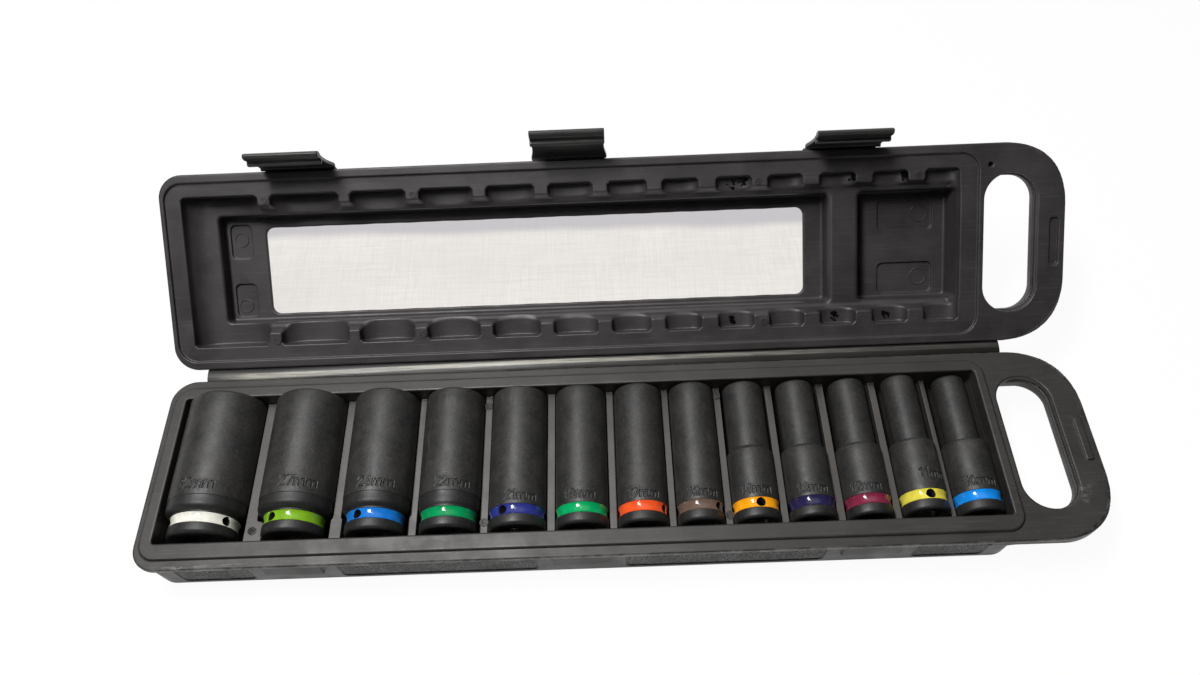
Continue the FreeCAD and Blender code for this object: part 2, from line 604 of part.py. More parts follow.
# ---------------------------------------------------------------- sockets and their size rings
for flats, row in SOCKETS.items():
    nose, drive = d(f"nose_{flats}") / 2, d(f"drive_{flats}") / 2
    long, across = d("socket_length"), d(f"flats_{flats}")
    tip = d("nose_chamfer")
    start, stop = d("band_start"), d("band_end")
    groove = drive - d("band_groove")
    if known[f"nose_{flats}"] > known[f"drive_{flats}"]:
        neck, shoulder = d("long_neck"), d("long_shoulder")
        rise = nose - drive - d("shoulder_step")
        steps = [(drive, neck), (drive + rise * 0.55, neck + 0.7), (drive + rise * 0.85, neck + 2.0),
                 (drive + rise, neck + 3.9), (drive + rise, shoulder), (nose, shoulder + 0.4)]
    elif known[f"nose_{flats}"] < known[f"drive_{flats}"]:
        shoulder = d("short_shoulder")
        steps = [(drive, shoulder - d("short_step")), (drive - 0.5, shoulder), (nose, shoulder + 0.2)]
    else:
        steps = []
    body = new_body(f"socket_{flats}")
    half = sketch(body, f"socket_{flats}_half", "XZ_Plane")
    polygon(half, [(0.0, 0.0), (drive - d("drive_chamfer"), 0.0), (drive, d("drive_chamfer")),
                   (drive, start), (groove, start), (groove, stop), (drive, stop)] + steps
            + [(nose, long - tip), (nose - tip * 0.6, long), (0.0, long)])
    spin(body, f"socket_{flats}_turned", half)
    mouth = sketch(body, f"socket_{flats}_hex", "XY_Plane", long)
    corner, side = across / ROOT3, across / 2
    polygon(mouth, [(corner, 0.0), (corner / 2, side), (-corner / 2, side), (-corner, 0.0),
                    (-corner / 2, -side), (corner / 2, -side)])
    pocket(body, f"socket_{flats}_broach", mouth, d("hex_depth"))
    deep = sketch(body, f"socket_{flats}_bore", "XY_Plane", long)
    circle(deep, 0.0, 0.0, across * 0.47)
    pocket(body, f"socket_{flats}_bored", deep, d("bore_depth"))
    square = sketch(body, f"socket_{flats}_square", "XY_Plane")
    side = d("drive_square") / 2
    polygon(square, [(-side, -side), (side, -side), (side, side), (-side, side)])
    pocket(body, f"socket_{flats}_drive", square, d("drive_depth"), back=True)
    hole = sketch(body, f"socket_{flats}_through", "XY_Plane")
    circle(hole, 0.0, 0.0, d("through_hole") / 2)
    pocket(body, f"socket_{flats}_passage", hole, long - d("bore_depth") + 1.0, back=True)
    detent = sketch(body, f"socket_{flats}_detent", "YZ_Plane")
    circle(detent, 0.0, (start + stop) / 2, d("detent_diameter") / 2)
    pocket(body, f"socket_{flats}_pin_hole", detent, drive + 2.0, back=True)

    ring = new_body(f"colour_band_{flats}")
    rim = sketch(ring, f"band_{flats}_half", "XZ_Plane")
    inside, outside = groove + d("band_clearance"), drive - d("band_below")
    start, stop = start + d("band_clearance"), stop - d("band_clearance")
    polygon(rim, [(inside, start), (outside - 0.35, start), (outside, start + 1.0), (outside, stop - 1.0),
                  (outside - 0.35, stop), (inside, stop)])
    spin(ring, f"band_{flats}_turned", rim)
    notch = sketch(ring, f"band_{flats}_notch", "YZ_Plane")
    circle(notch, 0.0, (start + stop) / 2, d("detent_diameter") / 2)
    pocket(ring, f"band_{flats}_pin_hole", notch, drive + 2.0, back=True)

    # local +X is the detent hole: turned up, then rolled about the socket's own axis
    lie = FreeCAD.Rotation(V(1, 0, 0), -90).multiply(FreeCAD.Rotation(V(0, 0, 1), row[8] - 90))
    for thing in (body, ring):
        thing.Placement = FreeCAD.Placement(V(), lie)
        bind(thing, Placement_at_Base_at_x=d(f"centre_{flats}"), Placement_at_Base_at_y=-d("socket_front"),
             Placement_at_Base_at_z=d("socket_height"))

doc.recompute()

# ---------------------------------------------------------------- check and write
NODES = (["base_tray", "lid_shell", "living_hinge"] + list(LATCHES)
         + [f"socket_{flats}" for flats in SOCKETS] + [f"colour_band_{flats}" for flats in SOCKETS])
for thing in doc.Objects:
    if "Invalid" in thing.State or "Error" in thing.State:
        raise RuntimeError(f"{thing.Name} did not build: {thing.State}")
os.makedirs("parts", exist_ok=True)
for name in NODES:
    shape = doc.getObject(name).Shape
    if shape.isNull() or not shape.isValid() or not shape.Solids:
        raise RuntimeError(f"{name} has no sound solid")
    shape.exportStep(f"parts/{name}.step")
    box = shape.BoundBox
    print(name, len(shape.Solids), round(shape.Volume), [round(v, 1) for v in (
        box.XMin, box.XMax, box.YMin, box.YMax, box.ZMin, box.ZMax)])
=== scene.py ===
"""Blender scene of the socket case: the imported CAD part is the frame, and its looks are built here."""
import math

import bmesh
import bpy
import numpy as np
from mathutils import Matrix, Vector


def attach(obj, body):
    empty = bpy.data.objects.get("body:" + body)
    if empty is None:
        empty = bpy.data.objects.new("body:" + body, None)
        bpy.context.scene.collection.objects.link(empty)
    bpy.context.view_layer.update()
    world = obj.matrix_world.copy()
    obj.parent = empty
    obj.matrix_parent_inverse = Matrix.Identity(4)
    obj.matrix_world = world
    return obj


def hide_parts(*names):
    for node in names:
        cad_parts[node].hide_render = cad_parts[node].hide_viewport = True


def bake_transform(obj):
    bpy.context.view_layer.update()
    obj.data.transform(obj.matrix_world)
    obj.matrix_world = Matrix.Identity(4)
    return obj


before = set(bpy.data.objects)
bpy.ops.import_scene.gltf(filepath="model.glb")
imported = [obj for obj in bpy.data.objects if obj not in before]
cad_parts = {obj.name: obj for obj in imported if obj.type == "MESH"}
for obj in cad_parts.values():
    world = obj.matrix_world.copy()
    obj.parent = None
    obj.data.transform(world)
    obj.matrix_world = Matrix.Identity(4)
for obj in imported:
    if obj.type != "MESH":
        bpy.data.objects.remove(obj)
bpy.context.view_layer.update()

FACE_LIMIT = 190_000   # triangles a piece keeps

# ------------------------------------------------------------------ sizes, in mm, as the CAD part has them
TOP, HALF, LEFT, RIGHT = 31.0, 53.6, -223.0, 267.0
TURN = math.radians(139.3)
HINGE_Y, GAP = 56.85, 0.3
DRAFT = math.tan(math.radians(1.5))
AXIS, SOCKET_Z, SOCKET_Y, LONG = 22.7, 22.45, -37.6, 78.0
PANELS = ((-204.0, -167.0), (-122.0, -22.0), (23.0, 123.0), (168.0, 203.6))   # grained fields of the front wall
WALL_Y, GRAIN_LOW, GRAIN_HIGH = -51.6, 6.0, 25.8   # the front wall at its rim, and the height of the grained fields
LEDGE, PANEL, PAD = 1.6, 22.5, 23.8   # floors in the lid, from its parting plane: round the edge, inside, and the pads
# body: joint along the front, degrees open in the photograph, how far along from the joint it is drawn, CAD node
LATCHES = {"left_latch": (-144.5, 8.0, -1.8, "latch_left"), "centre_latch": (0.5, 22.0, 0.0, "latch_centre"),
           "right_latch": (145.5, 8.0, 2.2, "latch_right")}
LATCH_X = [row[0] for row in LATCHES.values()]
GROOVE = (5.2, 10.5)   # the size ring's groove, from the drive end
DRIVE_HALF, DRIVE_DEEP, HEX_DEEP = 6.45, 16.5, 24.0   # half the drive square's width, and how deep the holes are
WEB_HOLE, DETENT = 4.5, 2.4   # radii of the hole between them and of the detent hole
# size: centre, nose and drive diameters, trough inset and shift, scallop offset, room and headroom, detent roll
SOCKETS = {
    32: (-192.6, 41.0, 34.5, 0.0, 0.0, 1.6, 3.2, 2.35, 60), 27: (-146.5, 38.6, 31.2, 2.4, 1.2, 1.9, 2.5, 2.15, -30),
    24: (-104.7, 35.2, 30.0, 0.8, 0.0, 0.3, 1.0, 2.25, -25), 22: (-67.0, 31.8, 29.2, 0.0, 0.0, -0.4, 2.6, 2.55, 120),
    21: (-31.7, 29.4, 29.4, 0.0, 0.0, -0.7, 2.8, 2.95, -27), 19: (1.4, 27.2, 27.2, 0.0, 0.0, -1.1, 3.4, 3.25, 150),
    17: (32.5, 25.6, 25.6, 0.0, 0.0, -1.3, 3.3, 3.65, 62), 16: (61.8, 24.0, 24.0, 0.0, 0.0, -1.9, 4.0, 4.05, 52),
    14: (90.1, 21.4, 23.8, 0.0, 0.0, -1.1, 4.1, 4.15, 6), 13: (118.5, 20.0, 23.8, 0.0, 0.0, -1.8, 3.8, 4.15, 165),
    12: (147.0, 19.2, 23.8, 0.0, 0.0, -2.2, 4.0, 4.15, -150), 11: (175.4, 18.0, 23.8, 0.0, 0.0, -2.1, 3.9, 4.15, 3),
    10: (202.5, 17.0, 23.8, 0.0, 0.0, -1.2, 3.6, 4.15, 175)}
PUSHED = {32: 0.6, 27: 0.6, 24: 0.3, 11: 1.3}   # how far a socket has slid back in its trough
CENTRE = np.array([row[0] for row in SOCKETS.values()])
WIDE = np.array([max(row[1], row[2]) / 2 for row in SOCKETS.values()])
INSET = np.array([row[3] for row in SOCKETS.values()])
SHIFT = np.array([row[4] for row in SOCKETS.values()])
OFFSET, ROOM, HEAD = (np.array([row[i] for row in SOCKETS.values()]) for i in (5, 6, 7))
BETWEEN = ((CENTRE + WIDE)[:-1] + (CENTRE - WIDE)[1:]) / 2


# ------------------------------------------------------------------ distance fields
def box2(x, y, x0, x1, y0, y1, r, r2=None):
    """Distance to a rectangle with rounded corners; r2 rounds its right-hand pair."""
    rr = r if r2 is None else np.where(x > (x0 + x1) / 2, r2, r)
    qx = np.abs(x - (x0 + x1) / 2) - (x1 - x0) / 2 + rr
    qy = np.abs(y - (y0 + y1) / 2) - (y1 - y0) / 2 + rr
    return np.minimum(np.maximum(qx, qy), 0) + np.hypot(np.maximum(qx, 0), np.maximum(qy, 0)) - rr


def join(a, b, r):
    """Union with a fillet of radius r."""
    return np.maximum(r, np.minimum(a, b)) - np.hypot(np.maximum(r - a, 0), np.maximum(r - b, 0))


def meet(a, b, r):
    """Intersection with an edge rounded to radius r."""
    return np.minimum(-r, np.maximum(a, b)) + np.hypot(np.maximum(r + a, 0), np.maximum(r + b, 0))


def polygon2(u, v, points):
    """Distance to a closed polygon."""
    best, inside = None, None
    for (ax, ay), (bx, by) in zip(points, points[1:] + points[:1]):
        ex, ey = bx - ax, by - ay
        t = np.clip(((u - ax) * ex + (v - ay) * ey) / (ex * ex + ey * ey), 0, 1)
        d = np.hypot(u - ax - ex * t, v - ay - ey * t)
        crosses = ((ay > v) != (by > v)) & (u < ex * (v - ay) / (ey if ey else 1e-9) + ax)
        best = d if best is None else np.minimum(best, d)
        inside = crosses if inside is None else inside ^ crosses
    return np.where(inside, -best, best)


def smooth(t):
    t = np.clip(t, 0, 1)
    return t * t * (3 - 2 * t)


def outline(x, y):
    """The flange's outline, seen from above."""
    return box2(x, y, LEFT, RIGHT, -HALF, HALF, 13.0, 34.0)


def shell(x, y, up, height):
    """The outside both halves share. up grows from the parting plane to the outer face."""
    flange = meet(outline(x, y), np.abs(up - 1.75) - 1.75, 0.9)
    plan = box2(x, y, 180.6, 266.0, -52.6, 52.6, 27.0)
    inner = box2(x, y, 204.6, 250.9, -36.4, 36.4, 12.9)
    grip = np.maximum(meet(meet(plan, -inner, 0.5), up - 12.0, 5.0), 0.6 - up)
    tub = box2(x, y, -221.0, 220.6, WALL_Y, -WALL_Y, 11.0) + DRAFT * up
    tub = np.maximum(meet(tub, up - height, 4.0), 0.6 - up)
    body = np.maximum(join(join(tub, grip, 2.5), flange, 0.9), -up)
    slot = np.maximum(box2(x, y, 223.4, 251.9, -37.4, 37.4, 13.9), up - 3.5)
    return meet(body, -slot, 0.9)


def base_field(x, y, z):
    up = TOP - z
    body = shell(x, y, up, TOP)
    plinth = meet(box2(x, y, -220.0, 220.0, -48.6, 48.6, 9.5), z - 32.5, 0.9)
    body = join(body, np.maximum(plinth, 28.0 - z), 0.5)
    body = join(body, np.maximum(meet(box2(x, y, 259.2, 263.2, -12.5, 12.5, 1.6), z - 31.8, 0.5), 29 - z), 0.4)
    index = np.searchsorted(BETWEEN, x)
    late = smooth((y + 27.3) / 1.6)
    radius = WIDE[index] + 0.4 - INSET[index] * (1 - late)
    trough = np.hypot(x - CENTRE[index] - SHIFT[index] * (1 - late), z - AXIS) - radius
    tray = box2(x, y, -213.6, 214.9, -40.2, 41.8, 1.6)
    ends = np.abs(y - 0.8) - 41.0
    cut = np.minimum(meet(tray, AXIS - z, 0.4), meet(trough, ends, 0.5))
    body = meet(body, -cut, 0.8)
    wall = WALL_Y + DRAFT * up
    for place in LATCH_X:
        wedge = polygon2(y, z, [(-49.0, 27.8), (-51.9, 27.8), (-52.9, 17.4), (-52.9, 15.0), (-49.0, 15.0)])
        body = join(body, meet(wedge, np.abs(x - place) - 15.0, 0.6), 0.5)
    for left, right in PANELS:
        panel = np.maximum(box2(x, z, left, right, GRAIN_LOW, GRAIN_HIGH, 3.0), y - wall - 0.7)
        body = meet(body, -panel, 0.4)
    return body


RISE = TOP + GAP + LEDGE - SOCKET_Z
SCALLOP_HALF = np.sqrt(WIDE ** 2 - RISE ** 2) + ROOM
SCALLOP_TOP = np.maximum(WIDE - RISE, 0) + LEDGE + HEAD
SCALLOP_SPLIT = ((CENTRE + OFFSET + SCALLOP_HALF)[:-1] + (CENTRE + OFFSET - SCALLOP_HALF)[1:]) / 2


def lid_field(x, y, z):
    body = shell(x, y, z, 25.0)
    seat = meet(box2(x, y, -220.4, 220.4, -49.0, 49.0, 9.9), z - LEDGE, 0.5)
    ledge = meet((box2(x, y, -202.9, 210.6, -36.15, 34.9, 3.55) + 0.35 * z) / 1.06, z - 9.0, 1.8)
    index = np.searchsorted(SCALLOP_SPLIT, x)
    start, power = 1.5, 2.8   # a scallop's section is half a squarish oval that stands on z = start
    half, deep = SCALLOP_HALF[index], SCALLOP_TOP[index] - start
    aside, beyond = np.abs(x - CENTRE[index] - OFFSET[index]), np.abs(y) - 41.35
    a, b = aside / half, np.maximum(z - start, 0) / deep
    size = np.maximum((a ** power + b ** power) ** (1 / power), 1e-3)
    arc = (size - 1) / np.maximum(np.hypot((a / size) ** (power - 1) / half, (b / size) ** (power - 1) / deep), 1e-3)
    arc = np.maximum(meet(arc, beyond, 0.7), (aside - half + beyond + 1.6) * 0.707)
    floor = meet(box2(x, y, -197.4, 141.6, -30.4, 29.4, 2.4), z - PANEL, 1.6)
    end = meet(box2(x, y, 158.0, 210.3, -30.4, 29.4, 2.4), z - PANEL, 1.6)
    cut = join(join(ledge, np.minimum(floor, end), 2.2), arc, 1.2)
    for x0, x1, y0, y1 in ((-194.8, -182.8, -25.4, -6.2), (-194.8, -182.8, 8.1, 27.3),
                           (172.3, 203.0, -25.4, -8.1), (172.3, 203.0, 10.0, 27.3)):
        cut = join(cut, meet(box2(x, y, x0, x1, y0, y1, 3.0), z - PAD, 0.6), 0.35)
    uneven = 0.07 * np.sin(0.19 * x) + 0.05 * np.sin(0.47 * x + 1.0)
    window = box2(x, y, -174.5, 130.4, -23.2, 25.9, 4.5) + uneven
    cut = join(join(cut, window, 0.8), seat, 0.6)
    cut = np.minimum(cut, np.maximum(box2(x, y, 258.8, 263.6, -12.9, 12.9, 2.0), z - 1.8))
    cut = np.minimum(cut, np.maximum(np.hypot(x - 226.4, y + 42.2) - 1.3, z - 5.0))
    body = meet(body, -cut, 0.6)
    for place in LATCH_X:   # the film that joins each latch to the rim
        film = np.maximum(meet(np.abs(y + 53.9) - 0.75, np.abs(z - 1.75) - 0.42, 0.2), np.abs(x - place) - 19.3)
        body = join(body, film, 0.2)
    return body


def latch_field(x, y, z):
    strap = polygon2(y, z, [(0.75, 0.0), (0.53, 0.53), (0.0, 0.75), (-1.88, 0.6), (-2.5, -0.75), (-2.5, -21.5),
                            (-3.6, -23.3), (-3.8, -25.5), (-3.2, -27.0), (-2.1, -27.5), (-1.0, -27.0), (-0.3, -25.3),
                            (-0.3, -21.1), (1.3, -21.1), (2.0, -20.4), (2.0, -19.0), (1.5, -18.5), (-0.3, -18.5),
                            (-0.3, -1.0), (0.75, -0.5)])
    side = np.maximum(np.abs(x) - 19.4 - 1.0 * smooth((z + 9) / 8), 60.0 - np.hypot(np.abs(x) - 78.9, z + 12.5))
    return meet(strap, side, 0.5)


# ------------------------------------------------------------------ surface of a field
def lines(*spans):
    """Grid lines: start, then pairs of end and step."""
    out, at = [], spans[0]
    for stop, step in zip(spans[1::2], spans[2::2]):
        n = max(1, round((stop - at) / (step * 1.0)))
        out.append(np.linspace(at, stop, n, endpoint=False))
        at = stop
    return np.concatenate(out + [[at]])


def surface(field, xs, ys, zs):
    """Vertices on the field's zero level and the quads between them."""
    values = np.empty((len(xs), len(ys), len(zs)), np.float32)
    for i in range(0, len(xs), 64):
        values[i:i + 64] = field(xs[i:i + 64, None, None], ys[None, :, None], zs[None, None, :])
    inside = values < 0
    n = np.zeros(tuple(s - 1 for s in values.shape), np.int8)
    for i in (0, 1):
        for j in (0, 1):
            for k in (0, 1):
                n += inside[i:i + n.shape[0], j:j + n.shape[1], k:k + n.shape[2]]
    cell = np.argwhere((n > 0) & (n < 8))
    number = np.full(n.shape, -1, np.int32)
    number[tuple(cell.T)] = np.arange(len(cell))
    total, count = np.zeros((len(cell), 3)), np.zeros(len(cell))
    grid = (xs, ys, zs)
    for axis in range(3):
        others = [a for a in range(3) if a != axis]
        for p in (0, 1):
            for q in (0, 1):
                a = cell.copy()
                a[:, others[0]] += p
                a[:, others[1]] += q
                b = a.copy()
                b[:, axis] += 1
                va, vb = values[tuple(a.T)], values[tuple(b.T)]
                hit = (va < 0) != (vb < 0)
                t = np.where(hit, va / np.where(hit, va - vb, 1), 0)
                for c in range(3):
                    ca, cb = grid[c][a[:, c]], grid[c][b[:, c]]
                    total[:, c] += np.where(hit, ca + (cb - ca) * t, 0)
                count += hit
    points = total / count[:, None]
    quads = []
    for axis in range(3):
        u, v = [(1, 2), (2, 0), (0, 1)][axis]
        first = [slice(None)] * 3
        second = [slice(None)] * 3
        first[axis], second[axis] = slice(0, -1), slice(1, None)
        change = inside[tuple(first)] != inside[tuple(second)]
        edge = np.argwhere(change)
        inner = (edge[:, u] < values.shape[u] - 1) & (edge[:, v] < values.shape[v] - 1)
        edge = edge[(edge[:, u] > 0) & (edge[:, v] > 0) & inner]
        corner = []
        for du, dv in ((-1, -1), (0, -1), (0, 0), (-1, 0)):
            c = edge.copy()
            c[:, u] += du
            c[:, v] += dv
            corner.append(number[tuple(c.T)])
        quad = np.stack(corner, 1)
        flip = ~inside[tuple(edge.T)]
        quad[flip] = quad[flip][:, ::-1]
        quads.append(quad)
    for _ in range(3):
        g, f = gradient(field, points, 0.06)
        step = f / np.maximum((g * g).sum(1), 0.25)
        points -= np.clip(step, -0.4, 0.4)[:, None] * g
    return points, np.concatenate(quads)


def gradient(field, p, e):
    """The field's slope at points p, by differences over 2 e, and its value there."""
    x, y, z = p.T
    g = np.stack([field(x + e, y, z) - field(x - e, y, z), field(x, y + e, z) - field(x, y - e, z),
                  field(x, y, z + e) - field(x, y, z - e)], 1) / (2 * e)
    return g, field(x, y, z)


def mesh_object(name, points, faces):
    """A mesh from arrays of points in metres and of faces with the same number of corners."""
    mesh = bpy.data.meshes.new(name)
    mesh.vertices.add(len(points))
    mesh.vertices.foreach_set("co", np.asarray(points, np.float32).ravel())
    sides = faces.shape[1]
    mesh.loops.add(faces.size)
    mesh.loops.foreach_set("vertex_index", faces.astype(np.int32).ravel())
    mesh.polygons.add(len(faces))
    mesh.polygons.foreach_set("loop_start", np.arange(0, faces.size, sides, dtype=np.int32))
    mesh.update(calc_edges=True)
    mesh.validate()
    thing = bpy.data.objects.new(name, mesh)
    bpy.context.scene.collection.objects.link(thing)
    return thing


def paint(thing, label, values):
    """A number at each vertex, for a material to read."""
    mark = thing.data.attributes.new(label, "FLOAT", "POINT")
    mark.data.foreach_set("value", values.astype(np.float32))


def smooth_shaded(thing, sharp=None):
    """Smooth normals, broken where faces meet at more than sharp degrees."""
    thing.data.polygons.foreach_set("use_smooth", np.ones(len(thing.data.polygons), bool))
    if sharp is not None:
        thing.data.set_sharp_from_angle(angle=math.radians(sharp))


def wrapped(rows, count, closed=True):
    """Quads over rows of count points. Each row closes on itself and, if closed, the last row meets the first."""
    i = np.arange(rows if closed else rows - 1)[:, None] * count
    j = np.arange(count)[None, :]
    k, onward = (j + 1) % count, (i + count) % (rows * count)
    return np.stack([i + j, i + k, onward + k, onward + j], 2).reshape(-1, 4)


def applied(thing):
    """thing with its modifiers made real."""
    graph = bpy.context.evaluated_depsgraph_get()
    mesh = bpy.data.meshes.new_from_object(thing.evaluated_get(graph))
    old = thing.data
    thing.modifiers.clear()
    thing.data = mesh
    bpy.data.meshes.remove(old)
    return thing


def read_points(mesh):
    co = np.empty(len(mesh.vertices) * 3, np.float32)
    mesh.vertices.foreach_get("co", co)
    return co.reshape(-1, 3).astype(float)


def formed(name, field, xs, ys, zs, place=None, limit=FACE_LIMIT, marks=None):
    """The field's surface as an object, thinned to limit triangles, with normals from the field itself."""
    points, quads = surface(field, xs, ys, zs)
    thing = mesh_object(name, points, quads)
    if len(quads) * 2 > limit:
        thin = thing.modifiers.new("thin", "DECIMATE")
        thin.ratio = limit / (len(quads) * 2)
        applied(thing)
    points = read_points(thing.data)
    g, _ = gradient(field, points, 0.12)
    g /= np.maximum(np.linalg.norm(g, axis=1), 1e-6)[:, None]
    for label, function in (marks or {}).items():
        paint(thing, label, function(*points.T))
    turned, normals = (points, g) if place is None else (place(points), place(g, True))
    thing.data.vertices.foreach_set("co", (turned / 1000).astype(np.float32).ravel())
    smooth_shaded(thing)
    thing.data.update()
    thing.data.normals_split_custom_set_from_vertices(normals.tolist())
    return thing


def swing(p, direction=False, turn=TURN, pivot=(0.0, HINGE_Y, TOP), closed=(0.0, HINGE_Y, -GAP)):
    """From the shut lid's frame to the row frame."""
    c, s = math.cos(turn), math.sin(turn)
    q = p if direction else p - np.array(closed)
    out = np.stack([q[:, 0], q[:, 1] * c + q[:, 2] * s, -q[:, 1] * s + q[:, 2] * c], 1)
    return out if direction else out + np.array(pivot)


# ------------------------------------------------------------------ materials
def linear(*rgb):
    """A colour of 0 to 255, as the nodes take it."""
    return tuple(((c / 255 + 0.055) / 1.055) ** 2.4 if c > 10 else c / 255 / 12.92 for c in rgb) + (1.0,)


class Nodes:
    """Short-hand for building a material's nodes."""

    def __init__(self, name):
        self.material = bpy.data.materials.new(name)
        self.material.use_nodes = True
        self.tree = self.material.node_tree
        self.shader = self.tree.nodes["Principled BSDF"]
        self.coordinates = self.add("ShaderNodeTexCoord").outputs["Object"]

    def add(self, kind, **values):
        node = self.tree.nodes.new(kind)
        for key, value in values.items():
            setattr(node, key, value)
        return node

    def link(self, a, b):
        self.tree.links.new(a, b)

    def stretched(self, scale):
        node = self.add("ShaderNodeMapping")
        node.inputs["Scale"].default_value = scale
        self.link(self.coordinates, node.inputs["Vector"])
        return node.outputs["Vector"]

    def noise(self, scale, detail=4.0, rough=0.55, stretch=(1, 1, 1)):
        node = self.add("ShaderNodeTexNoise")
        node.inputs["Scale"].default_value = scale
        node.inputs["Detail"].default_value = detail
        node.inputs["Roughness"].default_value = rough
        self.link(self.stretched(stretch), node.inputs["Vector"])
        return node.outputs["Fac"]

    def ramp(self, value, low, high, out_low=0.0, out_high=1.0):
        node = self.add("ShaderNodeMapRange")
        node.interpolation_type = "SMOOTHSTEP"
        for key, number in (("From Min", low), ("From Max", high), ("To Min", out_low), ("To Max", out_high)):
            node.inputs[key].default_value = number
        self.link(value, node.inputs["Value"])
        return node.outputs["Result"]

    def maths(self, operation, a, b=0.0):
        node = self.add("ShaderNodeMath", operation=operation)
        for socket, value in zip(node.inputs, (a, b)):
            if isinstance(value, (int, float)):
                socket.default_value = value
            else:
                self.link(value, socket)
        return node.outputs[0]

    def mix(self, factor, a, b):
        node = self.add("ShaderNodeMix", data_type="RGBA")
        for socket, value in ((node.inputs[0], factor), (node.inputs[6], a), (node.inputs[7], b)):
            if isinstance(value, (int, float, tuple)):
                socket.default_value = value
            else:
                self.link(value, socket)
        return node.outputs[2]

    def attribute(self, name):
        return self.add("ShaderNodeAttribute", attribute_name=name).outputs["Fac"]

    def bump(self, height, distance, strength=1.0, under=None):
        node = self.add("ShaderNodeBump")
        node.inputs["Distance"].default_value = distance
        node.inputs["Strength"].default_value = strength
        self.link(height, node.inputs["Height"])
        if under is not None:
            self.link(under, node.inputs["Normal"])
        return node.outputs["Normal"]


def plastic(name, dark, light, rough=(0.42, 0.55), gloss=0.5):
    """Blow-moulded plastic: mottling, dust, fine streaks, rubbed edges, rib tops painted lighter, knocks with a painted
    glint, oil spots and a satin bump.
    """
    n = Nodes(name)
    mottle = n.noise(38, 6, 0.6)
    colour = n.mix(n.ramp(mottle, 0.3, 0.7), dark, light)
    dust = n.ramp(n.noise(210, 5, 0.75), 0.62, 0.78, 0.0, 0.3)
    colour = n.mix(dust, colour, linear(106, 101, 97))
    streak = n.ramp(n.noise(60, 3, 0.6, (0.5, 6.0, 6.0)), 0.66, 0.76, 0.0, 0.08)
    colour = n.mix(streak, colour, linear(140, 137, 133))
    hair = n.ramp(n.noise(1100, 3, 0.7, (0.03, 1.0, 1.0)), 0.52, 0.70, 0.0, 0.16)
    colour = n.mix(hair, colour, linear(96, 92, 88))
    wear = n.maths("MULTIPLY", n.attribute("edge"), n.ramp(n.noise(120, 4, 0.7), 0.42, 0.62))
    colour = n.mix(n.maths("MULTIPLY", wear, 0.35), colour, linear(150, 146, 141))
    # the rib tops are painted lighter: partly rubbing, partly a painted highlight on their lit tops
    colour = n.mix(n.maths("MULTIPLY", n.attribute("rib"), 0.22), colour, linear(112, 107, 103))
    # knocks at the front left corner, and at the grip's inner edge a painted glint
    scuff_and_glint = n.maths("MULTIPLY", n.attribute("scuff_and_glint"), n.ramp(n.noise(420, 4, 0.8, (0.35, 1, 1)), 0.46, 0.58))
    colour = n.mix(n.maths("MULTIPLY", scuff_and_glint, 0.85), colour, linear(205, 201, 196))
    wet = n.ramp(n.maths("ADD", n.attribute("wet"), n.ramp(n.noise(480, 3, 0.6), 0.3, 0.7, -0.35, 0.35)), 0.48, 0.56)
    colour = n.mix(wet, colour, linear(9, 9, 10))
    n.link(colour, n.shader.inputs["Base Color"])
    satin = n.ramp(n.noise(55, 5, 0.6), 0.35, 0.65, *rough)
    n.link(n.maths("ADD", satin, n.maths("MULTIPLY", wet, -0.32)), n.shader.inputs["Roughness"])
    n.shader.inputs["Specular IOR Level"].default_value = gloss
    normal = n.bump(n.noise(26, 2, 0.5), 0.0010, 0.20)
    normal = n.bump(n.noise(900, 3, 0.6), 0.00012, 0.35, normal)
    n.link(normal, n.shader.inputs["Normal"])
    return n.material


def phosphate():
    """Black phosphated steel: satin, blotched, rubbed pale along its length and freckled."""
    n = Nodes("phosphate_steel")
    colour = n.mix(n.ramp(n.noise(95, 7, 0.7), 0.34, 0.66), linear(35, 34, 34), linear(48, 47, 46))
    fine = n.ramp(n.noise(700, 5, 0.75), 0.44, 0.70, 0.0, 0.45)
    colour = n.mix(fine, colour, linear(72, 70, 67))
    rubbed = n.maths("MULTIPLY", n.ramp(n.noise(330, 5, 0.75, (1.0, 0.16, 1.0)), 0.52, 0.72),
                     n.ramp(n.noise(34, 3, 0.6), 0.50, 0.70))
    colour = n.mix(n.maths("MULTIPLY", rubbed, 0.40), colour, linear(104, 101, 98))
    specks = n.ramp(n.noise(1900, 2, 0.5), 0.70, 0.76, 0.0, 0.6)
    colour = n.mix(specks, colour, linear(138, 135, 131))
    dull = n.mix(fine, linear(30, 29, 29), linear(50, 49, 47))
    colour = n.mix(n.maths("MULTIPLY", n.attribute("turned"), 0.75), colour, dull)
    colour = n.mix(n.maths("MULTIPLY", n.attribute("stamped"), 0.6), colour, linear(28, 27, 27))
    n.link(colour, n.shader.inputs["Base Color"])
    n.shader.inputs["Metallic"].default_value = 0.15
    n.link(n.ramp(n.noise(110, 4, 0.7), 0.3, 0.7, 0.42, 0.56), n.shader.inputs["Roughness"])
    normal = n.bump(n.noise(1300, 3, 0.6), 0.00012, 0.5)
    normal = n.bump(n.noise(130, 3, 0.6, (1.0, 0.5, 1.0)), 0.0004, 0.18, normal)
    n.link(normal, n.shader.inputs["Normal"])
    return n.material


def enamel(name, colour):
    """Glossy paint in the size ring: small runs and dust."""
    n = Nodes(name)
    deep = tuple(c * 0.84 for c in colour[:3]) + (1.0,)
    n.link(n.mix(n.ramp(n.noise(260, 3, 0.5), 0.35, 0.65), colour, deep), n.shader.inputs["Base Color"])
    n.link(n.ramp(n.noise(300, 3, 0.5), 0.35, 0.65, 0.09, 0.16), n.shader.inputs["Roughness"])
    n.link(n.bump(n.noise(420, 2, 0.5), 0.00008, 0.5), n.shader.inputs["Normal"])
    return n.material


